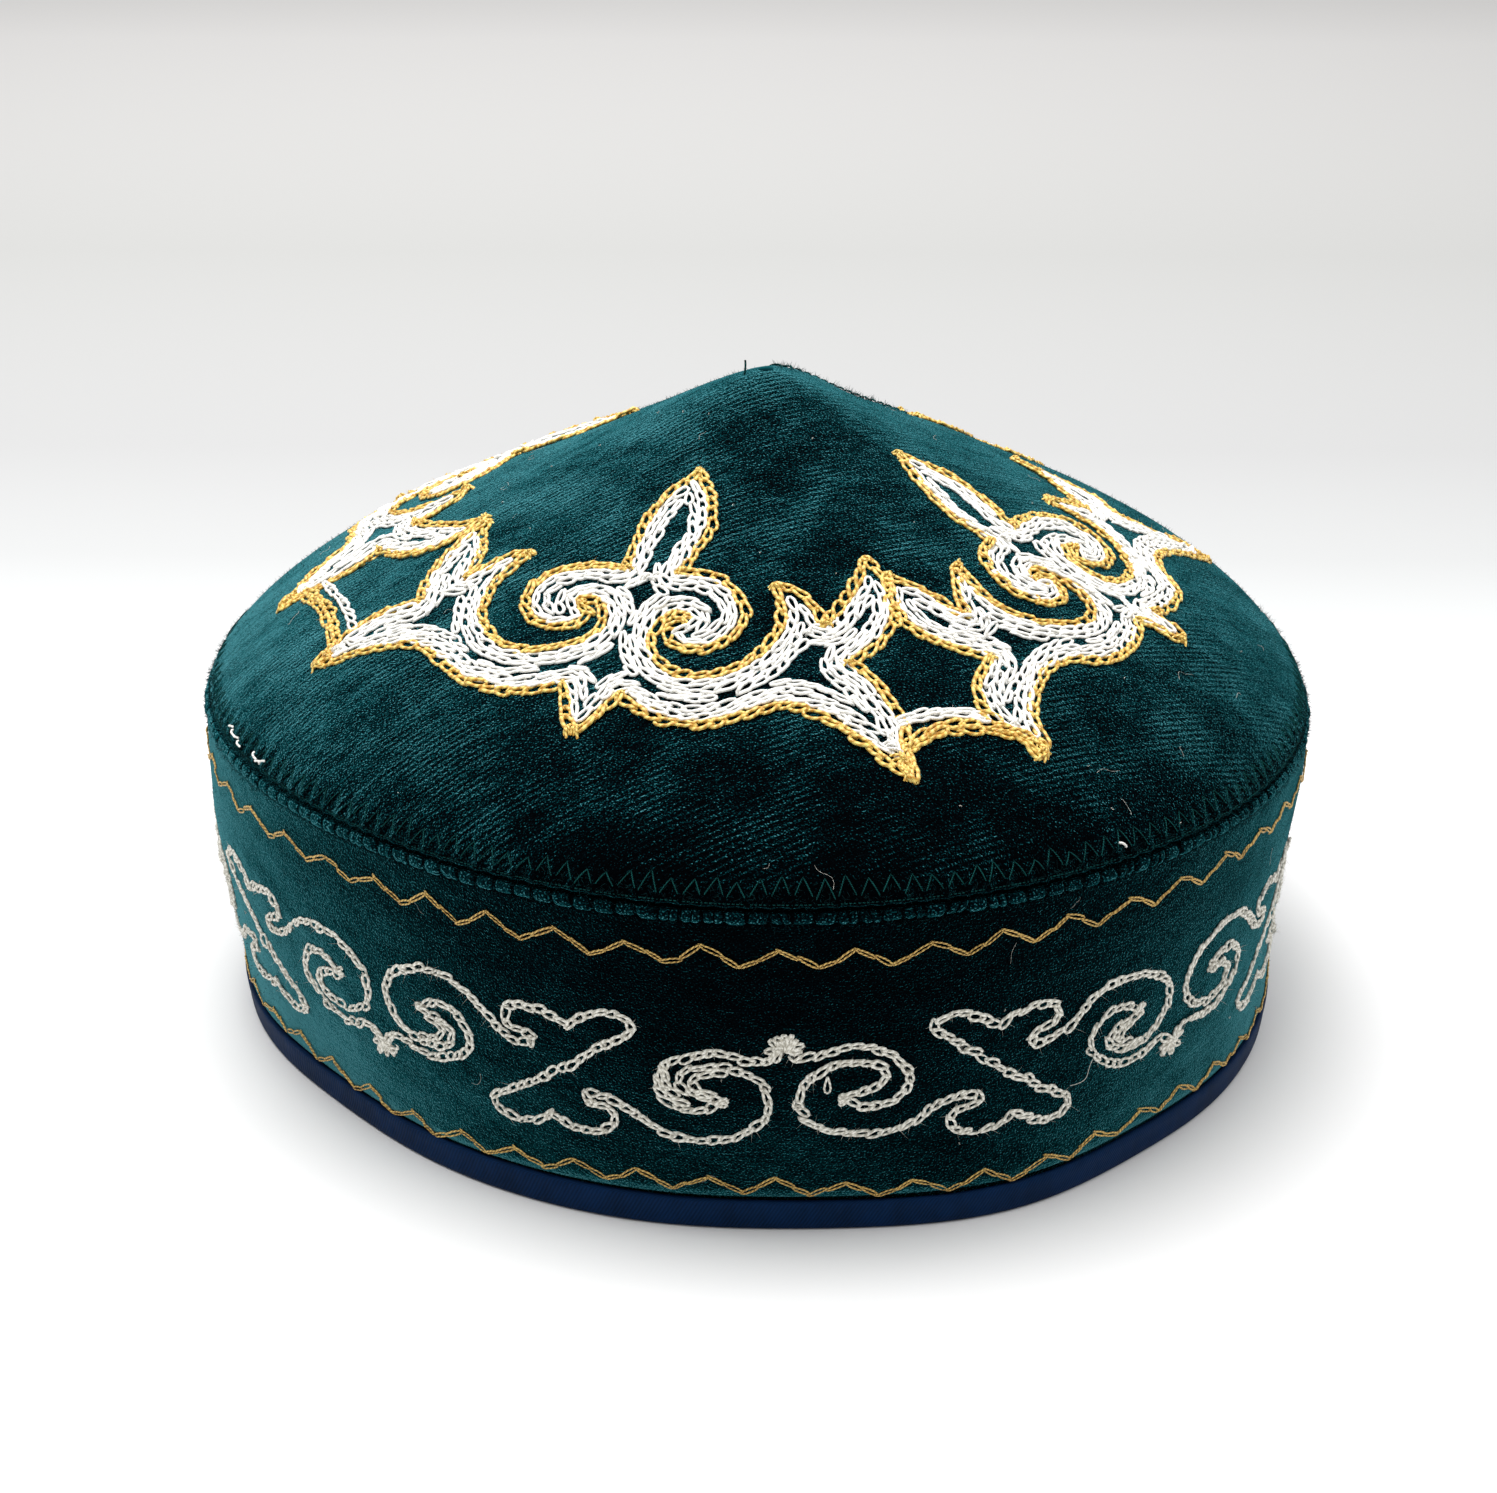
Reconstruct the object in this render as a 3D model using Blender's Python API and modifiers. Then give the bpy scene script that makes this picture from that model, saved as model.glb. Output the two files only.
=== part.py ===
# Tubeteika: a velvet cone eased into an oval velvet band, bound with tape along the lower edge.
# Sizes are in metres. The front faces -Y, +X is the wearer's left and +Z is up.
from collections import namedtuple
import math

import bmesh
import bpy
import numpy as np

MM = 0.001

# Plan of the lower edge, measured round the outside of the tape
RIM_LENGTH = 580 * MM
DEPTH_TO_WIDTH = 1.075
PLAN_TURN = 0.073
COLUMNS = 80
FINE_STEPS = 1440

# Heights and walls
SEAM_HEIGHT = 56.1 * MM
CROWN_RISE = 51.0 * MM
FLARE = 3.8 * MM
BAND_WALL = 2.5 * MM
CROWN_WALL = 2.0 * MM
TAPE_WALL = 1.0 * MM
TAPE_WIDTH = 5.2 * MM
GAP = 0.3 * MM

# Crown form
APEX_X = 1.4 * MM
APEX_Y = 1.3 * MM
DOME_SHARE = 0.296
DOME_POWER = 1.712
SWELL = 0.031
SWELL_FROM = 0.6
TIP_ROUND = 0.025
CROWN_RINGS = 13
RING_EASE = 1.35
TUCK_HEIGHT = 1.0 * MM
TUCK_IN = 0.6 * MM
RIDGE_COLUMN = 32
RIDGE_RISE = 1.8 * MM
RIDGE_EASE = 4

# Lobes: how many waves the outline has in one round, and how far each swells it, as a share
PlanWave = namedtuple("PlanWave", "lobes cosine sine")
PLAN_WAVES = (
    PlanWave(3, -0.0065, 0.0096),
    PlanWave(4, 0.0038, 0.0016),
    PlanWave(5, 0.0013, -0.0053),
)

# One row for each fold of a section: height above the rest surface, and how far it stands
# out from the flaring line of the wall
Row = namedtuple("Row", "height proud")
BAND_OUTSIDE = (
    Row(1.4 * MM, -0.9 * MM),
    Row(5.3 * MM, -0.9 * MM),
    Row(6.6 * MM, 0.0 * MM),
    Row(22.0 * MM, 0.0 * MM),
    Row(38.0 * MM, 0.0 * MM),
    Row(53.2 * MM, 0.0 * MM),
    Row(54.1 * MM, 0.5 * MM),
    Row(55.2 * MM, 0.6 * MM),
    Row(SEAM_HEIGHT - GAP / 2, 0.1 * MM),
)
BAND_INSIDE_HEIGHTS = (SEAM_HEIGHT - GAP / 2, 38.0 * MM, 22.0 * MM, 1.4 * MM)

VELVET_GREEN = (0.010, 0.055, 0.062)
NAVY = (0.006, 0.011, 0.055)


def clear_scene():
    """Remove every object, so that the script can be run again."""
    for obj in list(bpy.data.objects):
        bpy.data.objects.remove(obj, do_unlink=True)


def flare_at(height):
    """How far the wall's line stands out from the lower edge at a height."""
    return FLARE * height / SEAM_HEIGHT


def plan_outline():
    """Points and outward normals of the lower edge, evenly spaced from the front towards +X."""
    turn = np.linspace(0, 2 * math.pi, FINE_STEPS + 1)
    swell = np.ones_like(turn)
    for wave in PLAN_WAVES:
        swell += wave.cosine * np.cos(wave.lobes * turn) + wave.sine * np.sin(wave.lobes * turn)
    side = np.sin(turn) * swell
    depth = -DEPTH_TO_WIDTH * np.cos(turn) * swell
    line = np.stack((side * math.cos(PLAN_TURN) - depth * math.sin(PLAN_TURN),
                     side * math.sin(PLAN_TURN) + depth * math.cos(PLAN_TURN)), axis=1)
    reach = np.concatenate(([0.0], np.cumsum(np.linalg.norm(np.diff(line, axis=0), axis=1))))
    line *= RIM_LENGTH / reach[-1]
    stations = np.arange(COLUMNS) / COLUMNS * reach[-1]
    points = np.stack([np.interp(stations, reach, line[:, axis]) for axis in (0, 1)], axis=1)
    along = np.roll(points, -1, axis=0) - np.roll(points, 1, axis=0)
    along /= np.linalg.norm(along, axis=1)[:, None]
    normals = np.stack((along[:, 1], -along[:, 0]), axis=1)
    return centred(points, normals), normals


def centred(points, normals):
    """Shift the plan so that the widest ring, the puffed edge, is centred on the origin."""
    out = max(flare_at(row.height) + row.proud for row in BAND_OUTSIDE)
    widest = points + normals * out
    return points - (widest.min(axis=0) + widest.max(axis=0)) / 2


def guide_curve(name, points, guides):
    """A closed polyline that only guides a sweep."""
    data = bpy.data.curves.new(name, "CURVE")
    data.dimensions = "3D"
    spline = data.splines.new("POLY")
    spline.points.add(len(points) - 1)
    for point, place in zip(spline.points, points):
        point.co = (*place, 1.0)
    spline.use_cyclic_u = True
    obj = bpy.data.objects.new(name, data)
    obj.hide_render = True
    obj.display_type = "WIRE"
    guides.objects.link(obj)
    return obj


def swept_ring(name, section, outline, collection, guides):
    """Sweep a closed section, given as (out, height) pairs, once round the plan outline."""
    corners = [(out, height, 0.0) for out, height in reversed(section)]
    profile = guide_curve(name + "_section", corners, guides)
    data = bpy.data.curves.new(name, "CURVE")
    data.dimensions = "3D"
    data.twist_mode = "Z_UP"
    data.bevel_mode = "OBJECT"
    data.bevel_object = profile
    spline = data.splines.new("POLY")
    spline.points.add(len(outline) - 1)
    for point, (x, y) in zip(spline.points, outline):
        point.co = (x, y, 0.0, 1.0)
    spline.use_cyclic_u = True
    spline.use_smooth = True
    obj = bpy.data.objects.new(name, data)
    collection.objects.link(obj)
    return obj


def cloth(name, color, roughness, sheen):
    """A matte woven finish with a soft sheen."""
    material = bpy.data.materials.new(name)
    material.use_nodes = True
    shader = material.node_tree.nodes["Principled BSDF"]
    shader.inputs["Base Color"].default_value = (*color, 1.0)
    shader.inputs["Roughness"].default_value = roughness
    shader.inputs["Metallic"].default_value = 0.0
    shader.inputs["Sheen Weight"].default_value = sheen
    return material


def make_band(outline, collection, guides):
    """The upright wall: narrow inside the tape, flaring upwards, puffed where the crown is sewn on."""
    section = [(flare_at(row.height) + row.proud, row.height) for row in BAND_OUTSIDE]
    section += [(flare_at(height) - BAND_WALL, height) for height in BAND_INSIDE_HEIGHTS]
    band = swept_ring("band", section, outline, collection, guides)
    band.data.materials.append(cloth("band_velvet", VELVET_GREEN, 0.9, 0.6))
    return band


def make_hem_binding(outline, collection, guides):
    """Tape folded round the lower edge: two legs and a flat fold to rest on."""
    lowest = BAND_OUTSIDE[0]
    inner_face = -BAND_WALL - GAP
    outer_face = lowest.proud + flare_at(TAPE_WIDTH) + GAP
    fold = lowest.height - GAP
    corner = TAPE_WALL / 2
    section = [
        (outer_face, TAPE_WIDTH),
        (outer_face, fold),
        (inner_face, fold),
        (inner_face, TAPE_WIDTH),
        (inner_face - TAPE_WALL, TAPE_WIDTH),
        (inner_face - TAPE_WALL, corner),
        (inner_face - TAPE_WALL + corner, 0.0),
        (outer_face + TAPE_WALL - corner, 0.0),
        (outer_face + TAPE_WALL, corner),
        (outer_face + TAPE_WALL, TAPE_WIDTH - corner),
        (outer_face + TAPE_WALL - corner, TAPE_WIDTH),
    ]
    binding = swept_ring("hem_binding", section, outline, collection, guides)
    binding.data.materials.append(cloth("binding_tape", NAVY, 0.6, 0.2))
    return binding


def crown_height(reach):
    """Height above the seam at a share of the way from the tip to the seam: a cone eased by a dome."""
    blunt = (math.hypot(reach, TIP_ROUND) - TIP_ROUND) / (math.hypot(1, TIP_ROUND) - TIP_ROUND)
    dome = (1 - reach ** DOME_POWER) ** (1 / DOME_POWER)
    return CROWN_RISE * ((1 - DOME_SHARE) * (1 - blunt) + DOME_SHARE * dome)


def crown_rings(outline, normals):
    """Rings of the crown's outside from the seam up, each a list of points round the plan."""
    seam = outline + normals * FLARE
    apex = np.array((APEX_X, APEX_Y))
    foot = np.column_stack((seam - normals * TUCK_IN, np.full(COLUMNS, SEAM_HEIGHT + GAP / 2)))
    rings = [foot]
    for step in range(CROWN_RINGS):
        reach = 1 - (step / CROWN_RINGS) ** RING_EASE
        belly = max(0.0, (reach - SWELL_FROM) / (1 - SWELL_FROM))
        spread = reach * (1 + SWELL * math.sin(math.pi * belly))
        ring = np.column_stack((apex + (seam - apex) * spread,
                                np.full(COLUMNS, SEAM_HEIGHT + crown_height(reach))))
        if step == 0:
            ring[:, 2] += TUCK_HEIGHT
        ring[RIDGE_COLUMN, 2] += RIDGE_RISE * reach * (1 - reach ** RIDGE_EASE)
        rings.append(ring)
    return rings, (*apex, SEAM_HEIGHT + crown_height(0.0))


def make_crown(outline, normals, collection):
    """Loft the oval seam into the tip and give the cloth its thickness."""
    rings, tip = crown_rings(outline, normals)
    form = bmesh.new()
    rows = [[form.verts.new(place) for place in ring] for ring in rings]
    for lower, upper in zip(rows, rows[1:]):
        for column in range(COLUMNS):
            following = (column + 1) % COLUMNS
            form.faces.new((lower[column], lower[following], upper[following], upper[column]))
    peak = form.verts.new(tip)
    for column in range(COLUMNS):
        form.faces.new((rows[-1][column], rows[-1][(column + 1) % COLUMNS], peak))
    mesh = bpy.data.meshes.new("crown")
    form.to_mesh(mesh)
    form.free()
    mesh.shade_smooth()
    crown = bpy.data.objects.new("crown", mesh)
    collection.objects.link(crown)
    wall = crown.modifiers.new("wall", "SOLIDIFY")
    wall.thickness = CROWN_WALL
    wall.offset = -1.0
    wall.use_even_offset = True
    wall.use_quality_normals = True
    mesh.materials.append(cloth("crown_velvet", VELVET_GREEN, 0.9, 0.6))
    return crown


def main():
    clear_scene()
    collection = bpy.data.collections.new("tubeteika")
    guides = bpy.data.collections.new("tubeteika_guides")
    for group in (collection, guides):
        bpy.context.scene.collection.children.link(group)
    outline, normals = plan_outline()
    middle = bpy.data.objects.new("tubeteika_middle", None)
    collection.objects.link(middle)
    pieces = (
        make_hem_binding(outline, collection, guides),
        make_band(outline, collection, guides),
        make_crown(outline, normals, collection),
    )
    for piece in pieces:
        piece.parent = middle


main()
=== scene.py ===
# The looks of the tubeteika: velvet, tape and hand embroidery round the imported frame.
# Shapes are worked out in millimetres and scaled to metres when a mesh is made.
import math
from collections import namedtuple
from functools import partial

import bpy
import numpy as np
from mathutils import Matrix, Vector


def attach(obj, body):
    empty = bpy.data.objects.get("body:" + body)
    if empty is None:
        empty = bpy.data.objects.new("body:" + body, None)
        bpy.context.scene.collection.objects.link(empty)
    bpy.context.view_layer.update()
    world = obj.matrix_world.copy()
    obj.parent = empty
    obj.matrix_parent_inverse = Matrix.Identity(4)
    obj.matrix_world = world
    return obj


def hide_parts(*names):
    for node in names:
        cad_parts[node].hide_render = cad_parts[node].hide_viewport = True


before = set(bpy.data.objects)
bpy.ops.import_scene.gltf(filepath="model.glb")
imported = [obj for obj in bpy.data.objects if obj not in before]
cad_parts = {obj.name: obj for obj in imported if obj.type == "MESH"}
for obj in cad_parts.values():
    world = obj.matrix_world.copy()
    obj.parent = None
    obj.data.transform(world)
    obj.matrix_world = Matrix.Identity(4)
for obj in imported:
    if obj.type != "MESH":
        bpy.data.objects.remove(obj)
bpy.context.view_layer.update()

MM = 0.001
BODY = "root"
random = np.random.default_rng(7)

# Form of the cap, the same as the frame's
RIM_LENGTH = 580.0
DEPTH_TO_WIDTH = 1.075
PLAN_TURN = 0.073
SEAM_HEIGHT = 56.1
CROWN_RISE = 51.0
FLARE = 3.8
EDGE_PROUD = 0.6
EDGE_HEIGHT = 55.2
APEX = np.array((1.4, 1.3))
DOME_SHARE = 0.296
DOME_POWER = 1.712
SWELL = 0.031
SWELL_FROM = 0.6
TIP_ROUND = 0.025
CROWN_WALL = 2.0
BAND_WALL = 2.5
PlanWave = namedtuple("PlanWave", "lobes cosine sine")
PLAN_WAVES = (
    PlanWave(3, -0.0065, 0.0096),
    PlanWave(4, 0.0038, 0.0016),
    PlanWave(5, 0.0013, -0.0053),
)

# The crown's cloth: a flat sector, closed by one seam
CONE_FACTOR = 0.874
SLANT = 109.9
CLOTH_SEAM = 144.0
RIB_LINE = 75.0

# Stitching round the crown, and how far above the seam the groove's shadow reaches
STITCH_PITCH = 3.2
STITCH_COUNT = round(RIM_LENGTH * 1.04 / STITCH_PITCH)
PUFF_COLUMNS = 10
GROOVE_REACH = 0.7

# A slow wave's range of phases, and what scales the wave to about -1 to 1
PHASE_RANGE = 6.28
WAVE_SPREAD = 1.6

# The stiffened wall's waves: how far the slow ones and the ripples stand out, how many ripples run
# round the cap, and the rise over which they lean by a radian
WALL_WAVE = 0.15
WALL_RIPPLE = 0.12
RIPPLE_LOBES = (13, 19, 23)
RIPPLE_LEAN = 25.0


def smoothstep(low, high, value):
    """0 below low, 1 above high and an easy curve between."""
    share = np.clip((value - low) / (high - low), 0, 1)
    return share * share * (3 - 2 * share)


def unit(vectors):
    """Vectors of length one."""
    return vectors / np.maximum(np.linalg.norm(vectors, axis=-1, keepdims=True), 1e-9)


def reach_of(line):
    """Distance along a line at each of its points."""
    return np.concatenate(([0.0], np.cumsum(np.linalg.norm(np.diff(line, axis=0), axis=1))))


def read_line(marks, reach, line):
    """Points of a line at distances along it."""
    return np.stack([np.interp(marks, reach, line[:, axis]) for axis in range(line.shape[1])], axis=-1)


def even_arcs(columns):
    """Arc lengths of evenly spaced columns round the cap."""
    return np.arange(columns) / columns * RIM_LENGTH


def wobble(angle, seed, lobes=(2, 3, 5, 7, 11)):
    """A slow wave round the cap, within about -1 and 1, that closes on itself."""
    draws = np.random.default_rng(seed)
    total = np.zeros_like(angle)
    for lobe in lobes:
        size = draws.normal(0, 1 / math.sqrt(lobe))
        total += size * np.sin(lobe * angle + draws.uniform(0, PHASE_RANGE))
    return total / WAVE_SPREAD


class Plan:
    """The outline of the lower edge, read by arc length from the front towards +X."""

    STEPS = 1440

    def __init__(self):
        turn = np.linspace(0, 2 * math.pi, self.STEPS + 1)
        swell = np.ones_like(turn)
        for wave in PLAN_WAVES:
            swell += wave.cosine * np.cos(wave.lobes * turn) + wave.sine * np.sin(wave.lobes * turn)
        side = np.sin(turn) * swell
        depth = -DEPTH_TO_WIDTH * np.cos(turn) * swell
        line = np.stack((side * math.cos(PLAN_TURN) - depth * math.sin(PLAN_TURN),
                         side * math.sin(PLAN_TURN) + depth * math.cos(PLAN_TURN)), axis=1)
        reach = reach_of(line)
        line *= RIM_LENGTH / reach[-1]
        self.reach = reach * RIM_LENGTH / reach[-1]
        along = np.roll(line[:-1], -1, axis=0) - np.roll(line[:-1], 1, axis=0)
        along = np.vstack((along, along[:1]))
        along /= np.linalg.norm(along, axis=1)[:, None]
        self.normal = np.stack((along[:, 1], -along[:, 0]), axis=1)
        widest = line + self.normal * (flare_at(EDGE_HEIGHT) + EDGE_PROUD)
        self.middle = (widest.min(axis=0) + widest.max(axis=0)) / 2
        self.line = line - self.middle

    def read(self, arc, out):
        """Points and outward normals at arc lengths, pushed out by a distance."""
        arc = np.asarray(arc, float) % RIM_LENGTH
        place = read_line(arc, self.reach, self.line)
        normal = read_line(arc, self.reach, self.normal)
        return place + normal * np.asarray(out)[..., None], normal


def flare_at(height):
    """How far the wall's line stands out from the lower edge at a height."""
    return FLARE * height / SEAM_HEIGHT


PLAN = Plan()


# Where the stiff wall swells or is pressed in: how far round from the front, at which height,
# how wide and tall the place is, and how far it stands out
Swell = namedtuple("Swell", "arc height wide tall out")
WALL_SWELLS = (
    Swell(-132, 35, 60, 20, 2.0),
    Swell(128, 47, 50, 11, 1.0),
    Swell(-3, 2, 24, 14, -1.2),
    Swell(30, 2, 20, 14, 1.7),
    Swell(60, 2, 16, 14, -0.6),
    Swell(-88, 2, 22, 14, -1.5),
    Swell(112, 4, 20, 12, 0.4),
)


def band_relief(arc, height):
    """The stiffened wall's slow unevenness."""
    angle = arc / RIM_LENGTH * 2 * math.pi
    fade = np.sin(np.clip(height / SEAM_HEIGHT, 0, 1) * math.pi)
    relief = WALL_WAVE * fade * wobble(angle, 3)
    relief = relief + WALL_RIPPLE * fade * wobble(angle + height / RIPPLE_LEAN, 4, RIPPLE_LOBES)
    for swell in WALL_SWELLS:
        aside = (arc - swell.arc + RIM_LENGTH / 2) % RIM_LENGTH - RIM_LENGTH / 2
        away = (aside / swell.wide) ** 2 + ((height - swell.height) / swell.tall) ** 2
        relief = relief + swell.out * np.exp(-away)
    return relief


def band_point(arc, height, out=0.0):
    """Points and outward directions on the band's outside."""
    arc = np.asarray(arc, float)
    height = np.broadcast_to(np.asarray(height, float), arc.shape)
    flat, normal = PLAN.read(arc, flare_at(height) + band_relief(arc, height) + out)
    place = np.concatenate((flat, height[..., None]), axis=-1)
    lean = np.full(arc.shape + (1,), -FLARE / SEAM_HEIGHT)
    return place, unit(np.concatenate((normal, lean), axis=-1))


def crown_height(reach):
    """Height above the seam at a share of the way from the tip to the seam."""
    blunt = (np.hypot(reach, TIP_ROUND) - TIP_ROUND) / (math.hypot(1, TIP_ROUND) - TIP_ROUND)
    dome = (1 - np.clip(reach, 0, 1) ** DOME_POWER) ** (1 / DOME_POWER)
    return CROWN_RISE * ((1 - DOME_SHARE) * (1 - blunt) + DOME_SHARE * dome)


# Relief of the crown's cloth: slow dents and creases, a hollow below the tip at a slant share, and
# along the cloth's own seam a ridge with a slit in it, with their widths
DENT_DEPTH = 0.30
CREASE_DEPTH = 0.15
CREASE_LOBES = (9, 14, 17)
HOLLOW_DEPTH = 0.9
HOLLOW_PLACE = 0.27
HOLLOW_WIDTH = 0.15
RIDGE_RISE = 1.0
RIDGE_WIDTH = 2.2
SLIT_DEPTH = 0.5
SLIT_WIDTH = 0.6


class Crown:
    """The crown's outside, read by turn in degrees (0 at the front, towards +X) and slant share."""

    COLUMNS = 720
    ROWS = 240
    RINGS = 400
    RING_EASE = 1.6

    def __init__(self):
        seam, _ = PLAN.read(even_arcs(self.COLUMNS), np.full(self.COLUMNS, FLARE))
        fine = 1 - np.linspace(1, 0, self.RINGS) ** self.RING_EASE
        belly = np.clip((fine - SWELL_FROM) / (1 - SWELL_FROM), 0, 1)
        spread = fine * (1 + SWELL * np.sin(math.pi * belly))
        rings = np.empty((len(fine), self.COLUMNS, 3))
        rings[..., :2] = APEX + (seam - APEX)[None] * spread[:, None, None]
        rings[..., 2] = (SEAM_HEIGHT + crown_height(fine))[:, None]
        stations = np.linspace(0, 1, self.ROWS + 1)
        self.table = np.empty((self.ROWS + 1, self.COLUMNS, 3))
        for column in range(self.COLUMNS):
            reach = reach_of(rings[:, column])
            self.table[:, column] = read_line(stations, reach / reach[-1], rings[:, column])
        turn, slant = np.meshgrid(np.arange(self.COLUMNS) * 360 / self.COLUMNS, stations)
        self.table += self.directions(self.table) * self.relief(turn, slant)[..., None]
        self.outward = self.directions(self.table)

    @staticmethod
    def directions(table):
        """Unit normals of the table's surface."""
        around = np.roll(table, -1, axis=1) - np.roll(table, 1, axis=1)
        normal = np.cross(np.gradient(table, axis=0), around)
        normal[0] = normal[3]
        return unit(normal)

    @staticmethod
    def relief(turn, slant):
        """Slow dents, the hollow, the ridge of the cloth's own seam and the pull of its stitches."""
        angle = np.radians(turn)
        radius = slant * SLANT
        ease = smoothstep(0.08, 0.4, slant) * smoothstep(1.0, 0.9, slant)
        dents = (DENT_DEPTH * ease * wobble(angle + 0.4 * slant, 11)
                 + CREASE_DEPTH * ease * wobble(angle - slant, 12, CREASE_LOBES))
        aside = np.abs((turn - CLOTH_SEAM + 180) % 360 - 180) * math.pi / 180 * CONE_FACTOR * radius
        pull = 0.75 + 0.25 * np.cos(2 * math.pi * radius / STITCH_PITCH)
        ridge = RIDGE_RISE * smoothstep(0.0, 0.06, slant) * pull * np.exp(-(aside / RIDGE_WIDTH) ** 2)
        slit = -SLIT_DEPTH * smoothstep(0.02, 0.08, slant) * np.exp(-(aside / SLIT_WIDTH) ** 2)
        hollow = -HOLLOW_DEPTH * np.exp(-((slant - HOLLOW_PLACE) / HOLLOW_WIDTH) ** 2)
        return dents + hollow + ridge + slit

    def read(self, turn, slant, lift=0.0):
        """Points and outward directions at turns and slant shares."""
        turn = np.asarray(turn, float)
        slant = np.clip(np.asarray(slant, float), 0, 1)
        column = (turn % 360) / 360 * self.COLUMNS
        row = slant * self.ROWS
        left = np.floor(column).astype(int)
        upper = np.minimum(np.floor(row).astype(int), self.ROWS - 1)
        across = (column - left)[..., None]
        along = (row - upper)[..., None]
        left %= self.COLUMNS
        right = (left + 1) % self.COLUMNS

        def blend(grid):
            top = grid[upper, left] * (1 - across) + grid[upper, right] * across
            low = grid[upper + 1, left] * (1 - across) + grid[upper + 1, right] * across
            return top * (1 - along) + low * along

        outward = unit(blend(self.outward))
        return blend(self.table) + outward * np.asarray(lift)[..., None], outward


CROWN = Crown()


# The photograph's view: its pixels are those of the 1497x1493 frame
FRAME_WIDTH, FRAME_HEIGHT = 1497.0, 1493.0
FOCAL_PIXELS = 2878.0
CAMERA_PLACE = np.array((-2.33, -465.6, 238.6)) - (*PLAN.middle, 0.0)
CAMERA_PITCH = 0.4051
CAMERA_ROLL = 0.0047
SENSOR = 36.0
SEARCH_STEPS = np.linspace(-1, 1, 161)
SEARCH_ZOOMS = (1, 40)


def view_axes():
    """The photograph's right, up and forward."""
    forward = np.array((0, math.cos(CAMERA_PITCH), -math.sin(CAMERA_PITCH)))
    upward = np.array((0, math.sin(CAMERA_PITCH), math.cos(CAMERA_PITCH)))
    right = np.array((1.0, 0, 0))
    turned = right * math.cos(CAMERA_ROLL) + upward * math.sin(CAMERA_ROLL)
    raised = upward * math.cos(CAMERA_ROLL) - right * math.sin(CAMERA_ROLL)
    return turned, raised, forward


def photo_place(points):
    """Where points of the cap show in the photograph."""
    right, up, forward = view_axes()
    away = points - CAMERA_PLACE
    reach = away @ forward
    return np.stack((FRAME_WIDTH / 2 + FOCAL_PIXELS * (away @ right) / reach,
                     FRAME_HEIGHT / 2 - FOCAL_PIXELS * (away @ up) / reach), axis=-1)


def seen_on_crown(x, y):
    """Turn and slant share of the crown's place that shows at a pixel of the photograph."""
    turn, slant = 180.0, 0.5
    for zoom in SEARCH_ZOOMS:
        turns, slants = np.meshgrid(turn + SEARCH_STEPS * 180 / zoom, slant + SEARCH_STEPS * 0.5 / zoom)
        place, outward = CROWN.read(turns, slants)
        apart = np.linalg.norm(photo_place(place) - (x, y), axis=-1)
        apart[np.sum((CAMERA_PLACE - place) * outward, axis=-1) < 0] = np.inf
        best = apart.argmin()
        turn, slant = turns.flat[best], slants.flat[best]
    return turn, slant


# Mesh helpers


def add_mesh(name, points, faces, corner_uv, face_material=None):
    """A smooth-shaded mesh object from millimetre points and arrays of faces."""
    mesh = bpy.data.meshes.new(name)
    mesh.vertices.add(len(points))
    mesh.vertices.foreach_set("co", (np.asarray(points, np.float32) * MM).ravel())
    sizes = np.concatenate([np.full(len(part), part.shape[1]) for part in faces])
    corners = np.concatenate([part.ravel() for part in faces])
    mesh.loops.add(len(corners))
    mesh.loops.foreach_set("vertex_index", corners.astype(np.int32))
    mesh.polygons.add(len(sizes))
    starts = np.concatenate(([0], np.cumsum(sizes)[:-1]))
    mesh.polygons.foreach_set("loop_start", starts.astype(np.int32))
    if face_material is not None:
        mesh.polygons.foreach_set("material_index", np.asarray(face_material, np.int32))
    mesh.update(calc_edges=True)
    layer = mesh.uv_layers.new(name="cloth")
    layer.data.foreach_set("uv", np.asarray(corner_uv, np.float32).ravel())
    mesh.shade_smooth()
    obj = bpy.data.objects.new(name, mesh)
    bpy.context.scene.collection.objects.link(obj)
    return obj


def grid_faces(rows, columns, first=0, flip=False):
    """Quads of a grid of points whose rows run round the cap."""
    row, column = np.meshgrid(np.arange(rows - 1), np.arange(columns), indexing="ij")
    after = (column + 1) % columns
    quads = np.stack((row * columns + column, row * columns + after,
                      (row + 1) * columns + after, (row + 1) * columns + column), axis=-1).reshape(-1, 4)
    return (quads[:, ::-1] if flip else quads) + first


def shell_faces(rows, columns):
    """Quads of a closed shell of rings: the grid, and the strip from the last ring to the first."""
    column = np.arange(columns)
    after = (column + 1) % columns
    last = (rows - 1) * columns
    return np.vstack((grid_faces(rows, columns),
                      np.stack((last + column, last + after, after, column), axis=1)))


def unwrapped(quads, columns):
    """Columns of face corners, counted on past the last one where a face spans the front."""
    place = quads % columns
    spans = place.max(axis=1, keepdims=True) - place > columns / 2
    return np.where(spans, place + columns, place)


def shell_uv(quads, columns, levels):
    """Corner places by arc length round the cap and by the level of each ring."""
    arcs = unwrapped(quads, columns) / columns * RIM_LENGTH
    return np.stack((arcs, levels[quads // columns]), axis=-1).reshape(-1, 2)


def repeated(quads, count, size):
    """The quads of one thread, again for each of many threads of a number of points."""
    return (quads[None] + (np.arange(count) * size)[:, None, None]).reshape(-1, 4)


# What covers a piece: its slot and its own materials
Finish = namedtuple("Finish", "slot materials")


def finish_piece(obj, finish, replaces=()):
    """Give a piece its finish's materials and let it ride on the cap's body."""
    slot, materials = finish
    for material in materials:
        obj.data.materials.append(material)
    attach(obj, BODY)
    if replaces:
        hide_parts(*replaces)


# Materials


def new_material(name):
    """A material, its node tree and its shader."""
    material = bpy.data.materials.new(name)
    material.use_nodes = True
    tree = material.node_tree
    return material, tree, tree.nodes["Principled BSDF"]


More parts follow.
